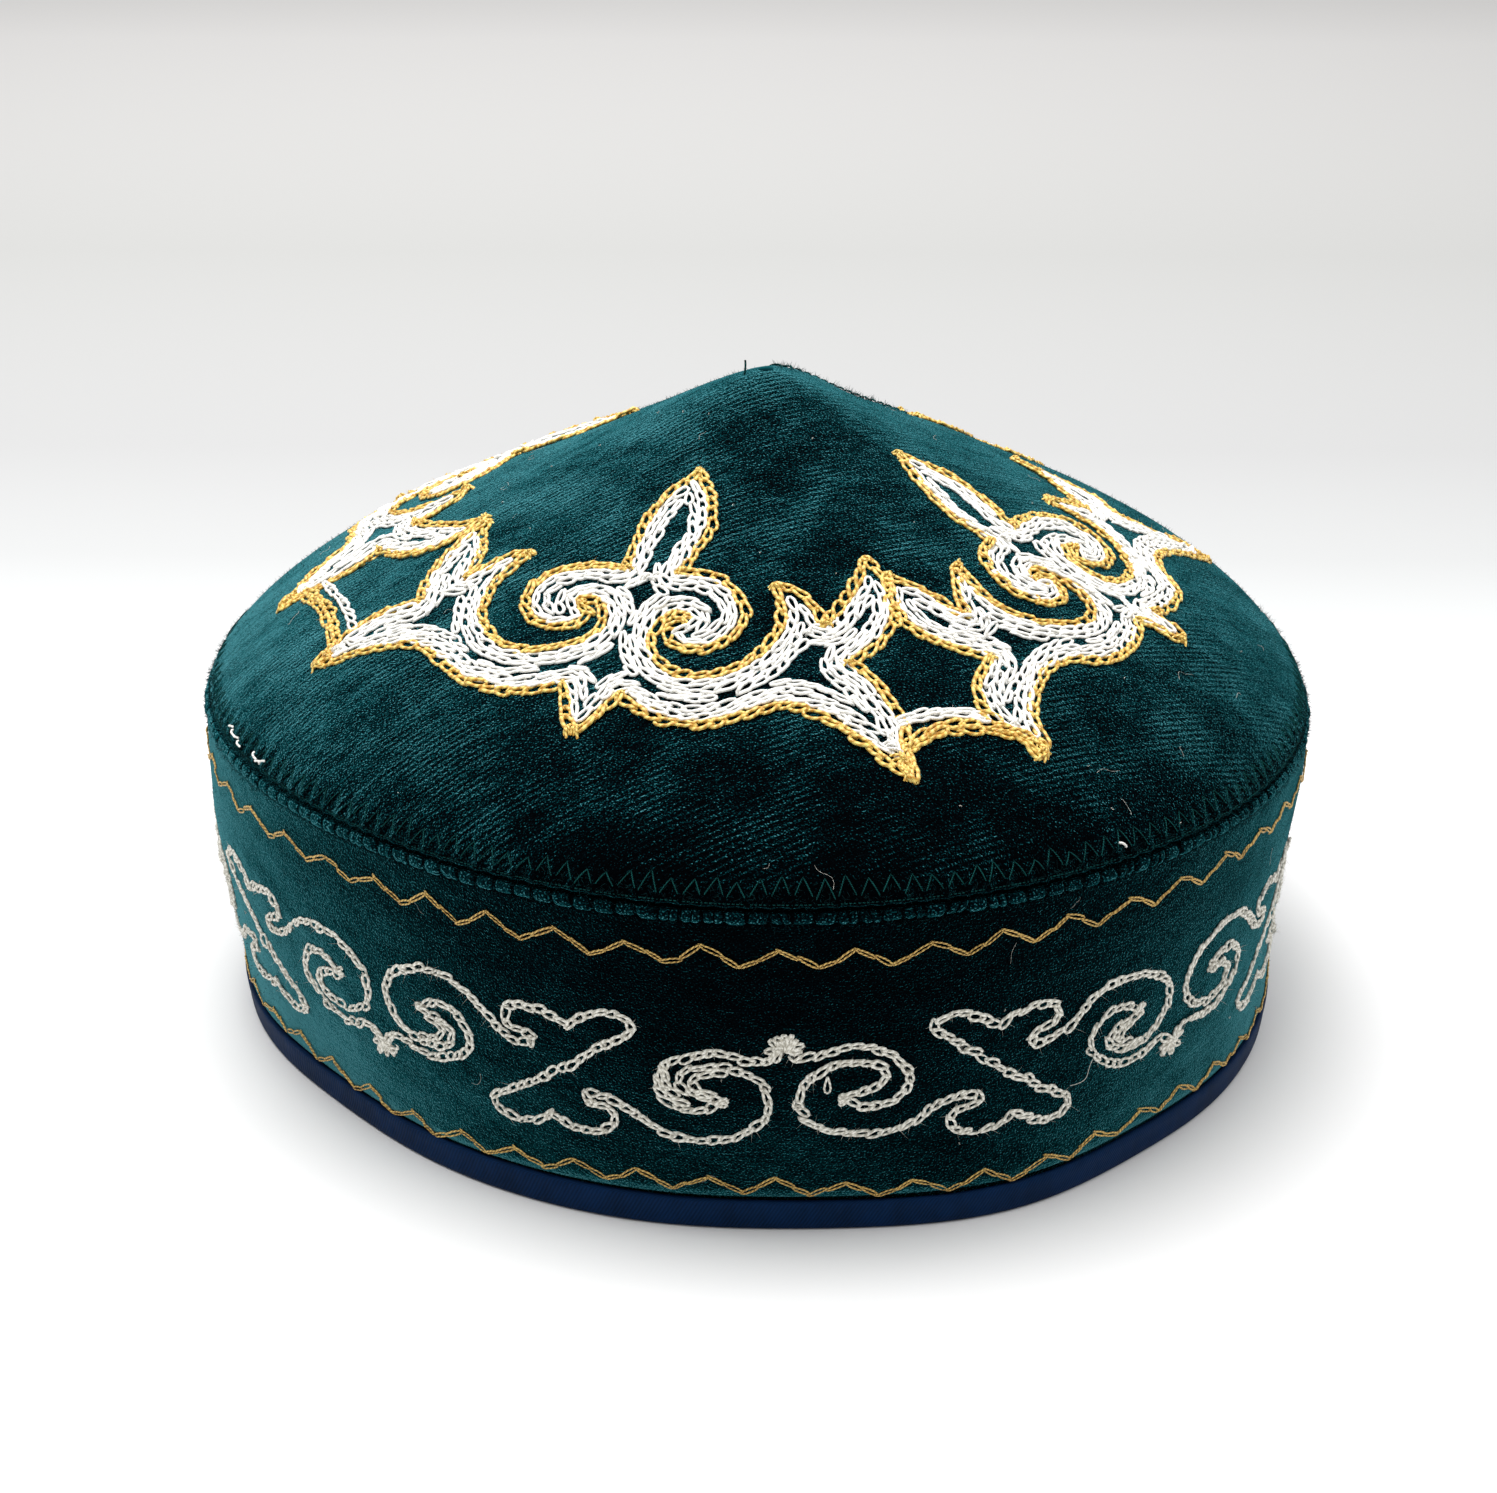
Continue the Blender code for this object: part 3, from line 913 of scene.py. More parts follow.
class Yarn:
    """Collects chain stitches of one thread and makes them one piece."""

    THREAD_TO_PITCH = 2.3

    def __init__(self, shape, width, radius, pitch, uneven=1.0):
        self.shape, self.width, self.radius, self.pitch, self.uneven = shape, width, radius, pitch, uneven
        self.blocks = []

    def links(self, start, end, outward, spread=1.0):
        """A loop from each start to each end."""
        shape, count = self.shape, len(start)
        up = unit(outward)
        step = end - start
        length = np.linalg.norm(step, axis=1)
        straight = unit(step - up * np.sum(step * up, axis=1, keepdims=True))
        across = np.cross(up, straight)
        uneven = self.uneven
        swing = (shape.slant + random.normal(0, LINK_SWING * uneven, count))[:, None]
        along = straight * np.cos(swing) + across * np.sin(swing)
        aside = across * np.cos(swing) - straight * np.sin(swing)
        wide = (self.width / 2 * (1 + random.uniform(*LINK_WIDENING, count) * uneven) * spread)[:, None]
        thick = (self.radius * random.uniform(*LINK_THICKNESS, count))[:, None]
        skew = random.normal(0, LINK_SKEW * uneven, count)[:, None]
        lift = random.normal(0, LINK_LIFT, count)[:, None]
        roll = random.normal(LINK_ROLL, ROLL_SPREAD * uneven, count)[:, None]
        over = shape.above * thick + lift
        over = over + roll * thick * (1 + shape.aside) / 2
        loop = (start[:, None]
                + along[:, None] * (shape.along * length[:, None])[..., None]
                + aside[:, None] * (shape.aside * (wide - thick) + skew)[..., None]
                + up[:, None] * over[..., None])
        self.blocks.append(tube(loop, up[:, None], thick, shape.sides, True, THREAD_FLATNESS))

    def row(self, points, outward):
        """Chain stitches one after another along dense points on the cloth."""
        reach = reach_of(points)
        if reach[-1] < SHORTEST_ROW * self.pitch:
            return
        count = max(1, round(reach[-1] / self.pitch))
        marks = np.linspace(0, reach[-1], count + 1)
        marks[1:-1] += random.normal(0, LINK_DRIFT * self.uneven * self.pitch, count - 1)
        nodes = read_line(marks, reach, points)
        up = read_line(marks, reach, outward)
        self.links(nodes[:-1], nodes[1:], up[:-1] + up[1:])

    def fan(self, surface, fan):
        """Separate loops that point away from a fan's middle on the flat cloth."""
        angles = np.asarray(fan.angles, float) + random.normal(0, 0.12, len(fan.angles))
        way = np.stack((np.cos(angles), np.sin(angles)), axis=1)
        reach = fan.outer * random.uniform(0.85, 1.1, len(angles))
        middle = np.array((fan.aside, fan.up))
        start, up = surface(middle + way * fan.inner)
        end, _ = surface(middle + way * reach[:, None])
        self.links(start, end, up, 0.8)

    def make(self, name, finish):
        """The piece, with thread coordinates in millimetres for its twist."""
        rings = np.concatenate(self.blocks)
        count, shape = len(rings), self.shape
        quads = repeated(shape.quads, count, shape.rings * shape.sides)
        around = shape.at_around / shape.sides
        along = shape.at_along * (self.THREAD_TO_PITCH * self.pitch / shape.rings) + around * PLY_SLANT
        uv = np.stack((along, around), axis=-1).reshape(-1, 2)
        shift = np.repeat(random.uniform(0, 50, (count, 1)), len(uv), axis=0) * (1, 0)
        uv = np.tile(uv, (count, 1)) + shift
        finish_piece(add_mesh(name, rings.reshape(-1, 3), [quads], uv), finish)

    def roots(self, count):
        """Random places on the collected thread, and the way out of it."""
        rings = np.concatenate(self.blocks)
        link_index = random.integers(0, len(rings), count)
        ring_index = random.integers(0, self.shape.rings, count)
        ring = rings[link_index, ring_index]
        side = ring[np.arange(count), random.integers(0, self.shape.sides, count)]
        return side, unit(side - ring.mean(axis=1))


# Ornament outlines

CURVE_STEP = 0.25


def curve_through(points):
    """A smooth line through points, sampled finely."""
    points = np.array(points, float)
    padded = np.vstack((2 * points[0] - points[1], points, 2 * points[-1] - points[-2]))
    line = []
    for before, start, end, after in zip(padded, padded[1:], padded[2:], padded[3:]):
        count = max(2, int(np.linalg.norm(end - start) / CURVE_STEP))
        share = (np.arange(count) / count)[:, None]
        line.append(0.5 * (2 * start + (end - before) * share
                           + (2 * before - 5 * start + 4 * end - after) * share ** 2
                           + (3 * start - before - 3 * end + after) * share ** 3))
    line.append(points[-1:])
    return np.vstack(line)


def respace(outline, step):
    """A closed outline again with even steps."""
    whole = np.vstack((outline, outline[:1]))
    reach = reach_of(whole)
    marks = np.linspace(0, reach[-1], max(2, round(reach[-1] / step)) + 1)
    return read_line(marks[:-1], reach, whole)


# Half of the crown's ornament on the flat cloth: aside from its axis, and away from the tip
Edge = namedtuple("Edge", "name points")
HORN_HALF = (
    Edge("spear", ((0.0, 28.2), (1.6, 30.6), (3.5, 33.9), (4.9, 37.9), (5.5, 42.0), (5.3, 46.0),
                   (4.9, 50.2))),
    Edge("horn_outside", ((4.9, 50.2), (7.0, 49.8), (9.0, 49.7), (11.6, 50.3), (14.3, 52.0), (16.3, 54.7),
                          (16.9, 57.7), (16.3, 60.7), (14.5, 63.4), (12.9, 64.5), (10.8, 65.0), (8.6, 64.4),
                          (6.9, 63.0), (6.5, 61.6), (7.2, 60.5), (8.6, 59.9))),
    Edge("horn_inside", ((8.9, 58.7), (7.5, 58.2), (5.8, 59.0), (4.8, 60.9), (4.4, 63.2), (4.9, 65.0),
                         (6.2, 67.0), (8.4, 68.9), (11.1, 69.9), (14.0, 69.8), (17.0, 68.5), (19.7, 65.9),
                         (21.2, 63.4), (21.9, 61.0), (22.3, 58.4), (22.2, 55.7), (21.5, 53.4), (20.2, 50.8),
                         (18.9, 48.2))),
    Edge("small_tip", ((18.9, 48.2), (22.0, 48.4), (24.4, 50.0), (26.6, 51.7), (28.1, 53.4))),
    Edge("upper_tip_inner", ((28.1, 53.4), (28.9, 50.4), (29.2, 46.8), (29.7, 43.2), (29.4, 40.0),
                             (29.2, 37.3))),
    Edge("upper_tip_outer", ((29.2, 37.3), (31.1, 39.0), (33.0, 40.6), (35.1, 43.1), (36.7, 45.9),
                             (37.5, 49.1), (37.5, 52.3), (36.8, 55.9), (35.6, 59.3))),
    Edge("lower_tip_inner", ((35.6, 59.3), (38.4, 60.3), (41.1, 61.8), (43.9, 64.4), (46.4, 67.3),
                             (47.7, 71.0), (48.8, 75.5))),
    Edge("lower_line", ((48.8, 75.5), (46.1, 74.9), (43.0, 73.2), (40.2, 72.2), (37.0, 70.9), (33.9, 70.2),
                        (30.3, 70.2), (27.5, 71.5), (24.8, 73.5), (22.0, 75.8), (19.3, 77.6), (16.6, 78.8),
                        (13.0, 79.1), (9.3, 78.6), (6.6, 77.4), (4.7, 76.5))),
    Edge("spike", ((4.7, 76.5), (3.6, 78.6), (2.5, 81.6), (0.6, 84.9))),
)
# The two lower tips of neighbours are joined by rows: where each starts beside the tip, the tip's
# end if the rows run on to it, how far they bow up towards the crown's tip, and each row's place
# across. No rows run from the second motif to the third.
Bridge = namedtuple("Bridge", "start tip bow rows")
WHITE_BRIDGE = Bridge((45.9, 66.9), None, 1.5, (-0.2, 0.6))
THIN_BRIDGE = Bridge((45.9, 66.9), None, 1.5, (0.1,))
GOLD_BRIDGE = Bridge((47.6, 71.0), (49.6, 75.6), 2.6, (-0.45, 0.5))
OPEN_AFTER = 2

# Filling: how many rows lie inside the outline, the distance from row to row and what the first
# one's has over it, how much nearer the outline a row may come, how near another row, the step
# between its points and the shortest run. Only two rows fit into the spear above its foot.
FILL_LEVELS = 3
FILL_SPACING = 1.46
FILL_FIRST = 0.12
FILL_SLACK = 0.12
FILL_CROWD = 1.05
FILL_STEP = 0.3
FILL_SHORTEST = 2.5
SPEAR_ROWS = 2
SPEAR_FOOT = 49.0
SPEAR_HALF = 6.0

# How the ornaments slipped on the cloth as they were stitched. A spot of the pattern is read off the
# photograph at a pixel; where the photograph doesn't show it, a pull says how far it moved.
Spot = namedtuple("Spot", "aside away x y")
Pull = namedtuple("Pull", "aside away across down")
PULL_REACH = 12.0
PULL_EASE = 0.02


def bond(apart):
    """How much one spot's slip carries another along, by the distance between them."""
    share = math.sqrt(3) * apart / PULL_REACH
    return (1 + share) * np.exp(-share)


class Motif:
    """One ornament of the crown: its axis in degrees and the slips of its spots."""

    def __init__(self, axis, spots=(), pulls=()):
        self.axis = axis
        slips = [(spot.aside, spot.away, *(self.cloth_place(spot.x, spot.y) - spot[:2])) for spot in spots]
        table = np.array(slips + list(pulls))
        self.spots = table[:, :2]
        apart = np.linalg.norm(self.spots[:, None] - self.spots, axis=2)
        self.weights = np.linalg.solve(bond(apart) + PULL_EASE * np.eye(len(table)), table[:, 2:])

    def cloth_place(self, x, y):
        """The flat place about the axis that shows at a pixel of the photograph."""
        turn, slant = seen_on_crown(x, y)
        angle = math.radians((turn - self.axis + 180) % 360 - 180) * CONE_FACTOR
        return slant * SLANT * np.array((math.sin(angle), math.cos(angle)))

    def moved(self, places):
        """Flat places after the slips."""
        apart = np.linalg.norm(places[:, None] - self.spots, axis=2)
        return places + bond(apart) @ self.weights


MOTIFS = (
    Motif(-26.95, (
        Spot(-29.2, 37.3, 487.0, 524.0), Spot(-29.2, 46.8, 485.0, 551.5), Spot(-28.1, 53.4, 468.0, 578.5),
        Spot(-18.9, 48.2, 530.5, 554.0), Spot(-35.6, 59.3, 418.0, 603.0), Spot(-48.8, 75.5, 318.5, 666.5),
        Spot(-17.0, 68.5, 500.0, 643.0), Spot(-11.1, 69.9, 539.0, 650.0), Spot(-4.4, 63.2, 601.0, 627.0),
        Spot(-7.5, 58.2, 592.0, 599.0), Spot(-11.6, 50.3, 580.0, 567.0), Spot(-4.9, 50.2, 624.0, 571.0),
        Spot(-24.8, 73.5, 441.0, 664.0), Spot(-16.6, 78.8, 485.0, 690.0), Spot(-4.7, 76.5, 562.5, 686.5),
        Spot(-0.6, 84.9, 568.0, 731.5), Spot(0.0, 28.2, 699.0, 473.0), Spot(-5.3, 46.0, 634.0, 549.0),
        Spot(4.9, 37.9, 712.5, 520.5), Spot(4.9, 50.2, 681.0, 573.5), Spot(18.9, 48.2, 777.0, 587.5),
        Spot(22.2, 55.7, 782.5, 624.0), Spot(28.1, 53.4, 824.5, 624.5), Spot(29.2, 37.3, 865.5, 560.5),
        Spot(37.5, 49.1, 893.0, 624.0), Spot(35.6, 59.3, 852.0, 664.0), Spot(41.1, 61.8, 877.5, 685.5),
        Spot(48.8, 75.5, 906.0, 775.0), Spot(30.3, 70.2, 792.0, 706.5), Spot(19.3, 77.6, 708.0, 725.0),
    )),
    Motif(56.4, (
        Spot(0.0, 28.2, 898.0, 455.0), Spot(-29.2, 37.3, 887.0, 577.0), Spot(-29.2, 46.8, 929.0, 593.0),
        Spot(-28.1, 53.4, 965.0, 616.0), Spot(-18.9, 48.2, 957.5, 565.5), Spot(-11.6, 50.3, 981.0, 556.0),
        Spot(-14.5, 63.4, 1050.5, 604.0), Spot(-22.3, 58.4, 1011.0, 613.5), Spot(-19.7, 65.9, 1056.0, 624.0),
        Spot(-14.0, 69.8, 1084.0, 622.0), Spot(-8.4, 68.9, 1089.0, 606.5), Spot(-35.6, 59.3, 990.0, 659.0),
        Spot(-41.1, 61.8, 975.0, 688.0), Spot(-48.8, 75.5, 1046.5, 754.0), Spot(-43.0, 73.2, 1036.5, 726.5),
        Spot(-33.9, 70.2, 1039.5, 687.0), Spot(-27.5, 71.5, 1060.0, 664.0), Spot(-19.3, 77.6, 1107.0, 662.0),
        Spot(-9.3, 78.6, 1139.0, 636.5), Spot(-4.7, 76.5, 1139.0, 622.0), Spot(-0.6, 84.9, 1179.0, 641.0),
        Spot(4.9, 50.2, 1011.0, 527.0), Spot(11.6, 50.3, 1041.5, 516.5), Spot(16.3, 54.7, 1075.0, 527.5),
        Spot(14.5, 63.4, 1109.0, 557.0), Spot(6.9, 63.0, 1083.0, 562.5), Spot(8.4, 68.9, 1108.0, 583.0),
        Spot(14.0, 69.8, 1128.0, 578.5), Spot(19.7, 65.9, 1125.0, 559.0), Spot(22.3, 58.4, 1095.0, 528.0),
        Spot(18.9, 48.2, 1047.5, 501.5), Spot(28.1, 53.4, 1086.5, 511.5),
        Spot(35.6, 59.3, 1120.0, 518.5), Spot(43.9, 64.4, 1153.0, 532.5),
        Spot(48.8, 75.5, 1206.5, 560.0), Spot(37.0, 70.9, 1175.0, 553.0), Spot(27.5, 71.5, 1156.5, 563.0),
        Spot(16.6, 78.8, 1178.0, 596.5), Spot(9.3, 78.6, 1166.5, 608.0), Spot(29.2, 46.8, 1061.5, 491.5),
        Spot(4.7, 76.5, 1151.5, 613.5),
    ), (Pull(29.2, 37.3, 6.5, 1.5), Pull(37.5, 49.1, 6.5, 0.8))),
    Motif(164.0, (), (
        Pull(-29.2, 37.3, 9.0, 1.5), Pull(-37.5, 49.1, 9.5, 0.5), Pull(-35.6, 59.3, 8.5, 0.0),
        Pull(-48.8, 75.5, 9.5, 0.0), Pull(-18.9, 48.2, 3.5, 0.5), Pull(29.2, 37.3, -4.5, 1.0),
        Pull(37.5, 49.1, -6.0, 0.0), Pull(35.6, 59.3, -5.0, 0.0), Pull(48.8, 75.5, -9.0, 0.0),
    )),
    Motif(238.0, (
        Spot(29.2, 37.3, 485.5, 520.0), Spot(29.2, 46.8, 445.0, 526.5), Spot(28.1, 53.4, 415.5, 524.0),
        Spot(18.9, 48.2, 469.5, 489.5), Spot(36.7, 45.9, 432.5, 549.5), Spot(35.6, 59.3, 379.5, 551.5),
        Spot(37.5, 52.3, 405.0, 555.5), Spot(48.8, 75.5, 284.0, 605.5), Spot(17.0, 68.5, 393.5, 510.5),
        Spot(27.5, 71.5, 352.5, 540.0), Spot(37.0, 70.9, 332.0, 559.0),
    ), (
        Pull(16.6, 78.8, -1.5, 3.5), Pull(-29.2, 37.3, 4.5, 0.5), Pull(-37.5, 49.1, 6.0, 0.0),
        Pull(-35.6, 59.3, 5.0, 0.0), Pull(-48.8, 75.5, 9.0, 0.0),
    )),
)


def place_on_crown(motif, places):
    """Turn in degrees and slant share of flat places about a motif's axis."""
    moved = motif.moved(np.asarray(places, float))
    turn = motif.axis + np.degrees(np.arctan2(moved[:, 0], moved[:, 1])) / CONE_FACTOR
    return turn, np.hypot(moved[:, 0], moved[:, 1]) / SLANT


def on_crown(motif, places):
    """Points and outward directions of flat places about a motif's axis."""
    return CROWN.read(*place_on_crown(motif, places))


def horn_outline():
    """The closed outline of one ornament, from one half's edges and their mirror."""
    edges = [curve_through(edge.points)[:-1] for edge in HORN_HALF]
    right = np.vstack(edges + [np.array(HORN_HALF[-1].points[-1:])])
    left = right[-2:0:-1] * (-1, 1)
    return np.vstack((right, left))


def offset_row(line, inward, away):
    """Dense points at a distance inside a closed line, rounded about its corners."""
    row = []
    following = zip(np.roll(line, -1, axis=0), np.roll(inward, -1, axis=0))
    for here, face, (after, next_face) in zip(line, inward, following):
        bend = math.atan2(face[0] * next_face[1] - face[1] * next_face[0], face @ next_face)
        parts = max(1, int(abs(bend) * away / FILL_STEP))
        for part in range(parts):
            facing = face + (next_face - face) * part / parts
            facing /= np.linalg.norm(facing)
            row.append(here + (after - here) * part / parts + facing * away)
    return np.array(row)


def free_runs(row, clear, placed):
    """The stretches of a row that crowd neither placed points nor the row's own earlier ones."""
    reach = reach_of(row)
    runs, taken = [[]], []
    for index, point in enumerate(row):
        free = clear[index]
        if free and len(placed):
            free = np.linalg.norm(placed - point, axis=1).min() >= FILL_CROWD
        if free and taken:
            older = row[taken][reach[index] - reach[taken] > 4 * FILL_SPACING]
            free = not len(older) or np.linalg.norm(older - point, axis=1).min() >= FILL_CROWD
        if free:
            runs[-1].append(point)
            taken.append(index)
        elif runs[-1]:
            runs.append([])
    return runs, taken


def filling_rows(outline):
    """Rows inside a closed outline at whole steps from it, cut where they would crowd each other."""
    line = respace(outline, FILL_STEP)
    turned = line[:, 0] * np.roll(line[:, 1], -1) - np.roll(line[:, 0], -1) * line[:, 1]
    along = np.roll(line, -1, axis=0) - np.roll(line, 1, axis=0)
    along /= np.linalg.norm(along, axis=1)[:, None]
    inward = np.stack((-along[:, 1], along[:, 0]), axis=1) * (1 if turned.sum() > 0 else -1)
    placed = np.zeros((0, 2))
    rows = []
    for level in range(1, FILL_LEVELS + 1):
        away = FILL_FIRST + level * FILL_SPACING
        row = offset_row(line, inward, away)
        clear = np.array([np.linalg.norm(line - point, axis=1).min() > away - FILL_SLACK
                          for point in row])
        if level > SPEAR_ROWS:
            clear &= (np.abs(row[:, 0]) > SPEAR_HALF) | (row[:, 1] > SPEAR_FOOT)
        runs, taken = free_runs(row, clear, placed)
        for run in map(np.array, runs):
            if len(run) > 3 and reach_of(run)[-1] > FILL_SHORTEST:
                rows.append(run)
        if taken:
            placed = np.vstack((placed, row[taken]))
    return rows


# Knots of stitches cover the places where rows meet: they lie along the way from a middle height
# of the ornament, and rise over the rows. A stitch's ends are sunk into the cloth.
KNOT_MIDDLE = 55.0
KNOT_LIFT = 0.75
STITCH_SUNK = 0.15
# Radius of the fibres that stand off the ornament's threads
FUZZ_RADIUS = 0.035


class Stitches:
    """Collects short straight stitches of one thread and makes them one piece."""

    def __init__(self, radius):
        self.radius = radius
        self.stitches = []

    def add(self, surface, start, end, lift):
        """A stitch over the cloth between two flat places."""
        share = np.linspace(0, 1, 5)
        place, up = surface(start + (end - start) * share[:, None])
        arch = -STITCH_SUNK + (lift + STITCH_SUNK) * np.sin(math.pi * share) ** 0.5
        self.stitches.append((place + up * arch[:, None], up))

    def cover(self, surface, joint, side):
        """Stitches laid over each other about a joint on one side of the ornament."""
        way = math.atan2(joint.away - KNOT_MIDDLE, joint.aside * side)
        for _ in range(joint.count):
            angle = way + random.normal(0, joint.spread)
            half = np.array((math.cos(angle), math.sin(angle))) * joint.length
            half *= random.uniform(0.7, 1.2) / 2
            place = (joint.aside * side, joint.away) + random.normal(0, 0.25, 2)
            self.add(surface, place - half, place + half, KNOT_LIFT * random.uniform(0.7, 1.3))

    def make(self, name, finish):
        """The piece."""
        thread_piece(name, *zip(*self.stitches), self.radius, finish, 5)


# Where rows of the ornament meet: the place, how many stitches cover it, how long they are and how
# far they spread
Joint = namedtuple("Joint", "aside away count length spread")
ROW_JOINTS = (
    Joint(0.0, 28.4, 2, 1.8, 0.5), Joint(5.0, 50.0, 4, 2.0, 0.6), Joint(8.7, 59.4, 4, 2.2, 0.7),
    Joint(18.9, 48.3, 4, 2.2, 0.8), Joint(28.1, 53.2, 4, 2.2, 0.5), Joint(29.2, 37.6, 3, 2.0, 0.6),
    Joint(35.4, 59.3, 3, 2.0, 0.6), Joint(48.6, 75.3, 6, 2.8, 0.45), Joint(47.6, 73.4, 4, 2.4, 0.5),
    Joint(4.8, 76.4, 3, 1.8, 0.6), Joint(0.4, 84.6, 3, 2.2, 0.3),
)
WHITE_JOINTS = (
    Joint(46.2, 71.9, 5, 2.4, 0.4), Joint(44.9, 70.1, 4, 2.2, 0.5), Joint(1.2, 51.6, 4, 2.0, 0.8),
    Joint(26.4, 56.0, 3, 2.2, 0.7),
)


def make_bridge(yarn, motif, following, bridge):
    """Rows from one motif's lower tip across to its neighbour's."""
    start = np.array(bridge.start)
    (turn_a,), (slant_a,) = place_on_crown(motif, [start])
    (turn_b,), (slant_b,) = place_on_crown(following, [start * (-1, 1)])
    lap = 360 if turn_b < turn_a else 0
    share = np.linspace(0, 1, 24)
    for aside in bridge.rows:
        turn = turn_a + (turn_b + lap - turn_a) * share
        bow = (bridge.bow * np.sin(math.pi * share) - aside) / SLANT
        slant = slant_a + (slant_b - slant_a) * share - bow
        if bridge.tip:
            leg = start + (bridge.tip - start) * np.linspace(0, 1, 12)[:, None] + (aside, 0)
            turn_in, slant_in = place_on_crown(motif, leg)
            turn_out, slant_out = place_on_crown(following, leg * (-1, 1))
            turn = np.concatenate((turn_in[::-1], turn, turn_out + lap))
            slant = np.concatenate((slant_in[::-1], slant, slant_out))
        yarn.row(*CROWN.read(turn, slant))


def make_crown_ornament():
    """Golden outline and white filling of each horn motif, and the bridges between them."""
    filling = filling_rows(horn_outline())
    for number, motif in enumerate(MOTIFS, 1):
        gold = Yarn(GOLD_LINK, width=2.05, radius=0.33, pitch=2.65, uneven=1.3)
        white = Yarn(FILL_LINK, width=1.68, radius=0.31, pitch=2.45, uneven=1.4)
        gold_knots, white_knots = Stitches(radius=0.21), Stitches(radius=0.23)
        surface = partial(on_crown, motif)
        for side in (1, -1):
            for edge in HORN_HALF:
                gold.row(*surface(curve_through(edge.points) * (side, 1)))
            for knots, joints in ((gold_knots, ROW_JOINTS), (white_knots, WHITE_JOINTS)):
                for joint in joints:
                    knots.cover(surface, joint, side)
        for run in filling:
            white.row(*surface(run))
        following = MOTIFS[number % len(MOTIFS)]
        if number != OPEN_AFTER:
            make_bridge(white, motif, following, THIN_BRIDGE if number == len(MOTIFS) else WHITE_BRIDGE)
            make_bridge(gold, motif, following, GOLD_BRIDGE)
        outline, fill = f"ornament_{number}_outline", f"ornament_{number}_filling"
        gold.make(outline, GOLD)
        white.make(fill, WHITE)
        gold_knots.make(f"{outline}_knots", GOLD)
        white_knots.make(f"{fill}_knots", WHITE)
        make_fuzz(f"{outline}_fuzz", 420, gold.roots, GOLD, (0.3, 1.1), FUZZ_RADIUS)
        make_fuzz(f"{fill}_fuzz", 500, white.roots, WHITE, (0.3, 0.9), FUZZ_RADIUS)


# The band's scroll, in millimetres away from a trefoil's axis and up from the middle line: height
# of that line, distance between trefoils, the front one's place, and where the strip's join cuts
SCROLL_MIDDLE = 26.1
SCROLL_HALF = 66.8
SCROLL_FRONT = -4.0
SCROLL_ENDS = 4
SCROLL_JOIN = RIM_LENGTH / 2 - 2.0
SCROLL_ARM = (
    Edge("leg", ((0.5, 7.6), (0.8, 6.0), (1.6, 4.9), (3.0, 4.5), (4.7, 4.8))),
    Edge("horn_outside", ((4.7, 4.8), (7.3, 5.6), (10.0, 6.0), (13.4, 5.2), (16.5, 3.5), (18.2, 1.2),
                          (18.3, -1.2), (16.8, -3.4), (14.2, -4.5), (11.3, -4.3), (9.4, -3.0))),
    Edge("horn_inside", ((9.2, -2.4), (11.4, -1.9), (13.6, -1.3), (15.0, 0.2), (14.7, 1.9), (13.0, 3.0),
                         (10.4, 3.5), (7.5, 3.3), (4.8, 2.2), (2.9, 0.2), (2.1, -2.3), (2.4, -4.8),
                         (3.9, -6.9), (6.8, -8.5), (10.4, -9.5), (14.3, -9.6), (17.8, -8.6),
                         (20.4, -7.0), (22.5, -5.2), (24.8, -3.8), (27.2, -3.2), (29.1, -3.5))),
    Edge("hook", ((29.1, -3.5), (29.6, -4.6), (28.4, -5.4), (26.6, -5.5), (25.2, -6.2), (24.8, -7.8),
                  (25.8, -9.3), (28.0, -9.9), (31.0, -9.8), (33.6, -9.0), (35.3, -8.0))),
    Edge("foot", ((35.3, -8.0), (36.6, -9.2), (38.8, -10.5), (41.2, -11.0), (43.7, -10.6), (45.2, -9.4),
                  (45.0, -8.4), (43.2, -7.0), (39.6, -4.6), (36.6, -2.3), (33.4, 0.0))),
)
# Rows stitched twice, here and there
SCROLL_DOUBLED = (
    Edge("outside", ((17.2, 2.6), (17.2, 0.3), (16.1, -2.2), (13.6, -3.5))),
    Edge("inside", ((10.4, -1.1), (12.4, -0.4), (13.1, 0.9), (11.8, 1.9), (9.8, 2.5), (8.0, 2.4))),
)
# Loops that point away from a middle: its place, their angles, and where they begin and end. Two
# fans make each trefoil's head, and one the core of each horn.
Fan = namedtuple("Fan", "aside up angles inner outer")
HEAD_ANGLES = np.radians((-28, 8, 38, 66, 92, 118, 146, 178, 208))
HEADS = (Fan(0.0, 6.6, HEAD_ANGLES, 0.6, 2.7), Fan(0.0, 6.8, HEAD_ANGLES[::3] + 0.3, 0.0, 1.6))
CORES = {
    -1: Fan(-9.6, -2.8, (-0.5, 0.0, 0.5), 0.2, 1.7),
    1: Fan(9.6, -2.8, (math.pi - 0.5, math.pi, math.pi + 0.5), 0.2, 1.7),
}


def on_scroll(axis, up, places):
    """Points and outward directions of places about a trefoil's axis that points up or down."""
    arc = axis + places[..., 0]
    drift = 0.5 * np.sin(arc / 11.0 + 1.3) + 0.35 * np.sin(arc / 5.3)
    return band_point(arc, SCROLL_MIDDLE + up * places[..., 1] + drift)


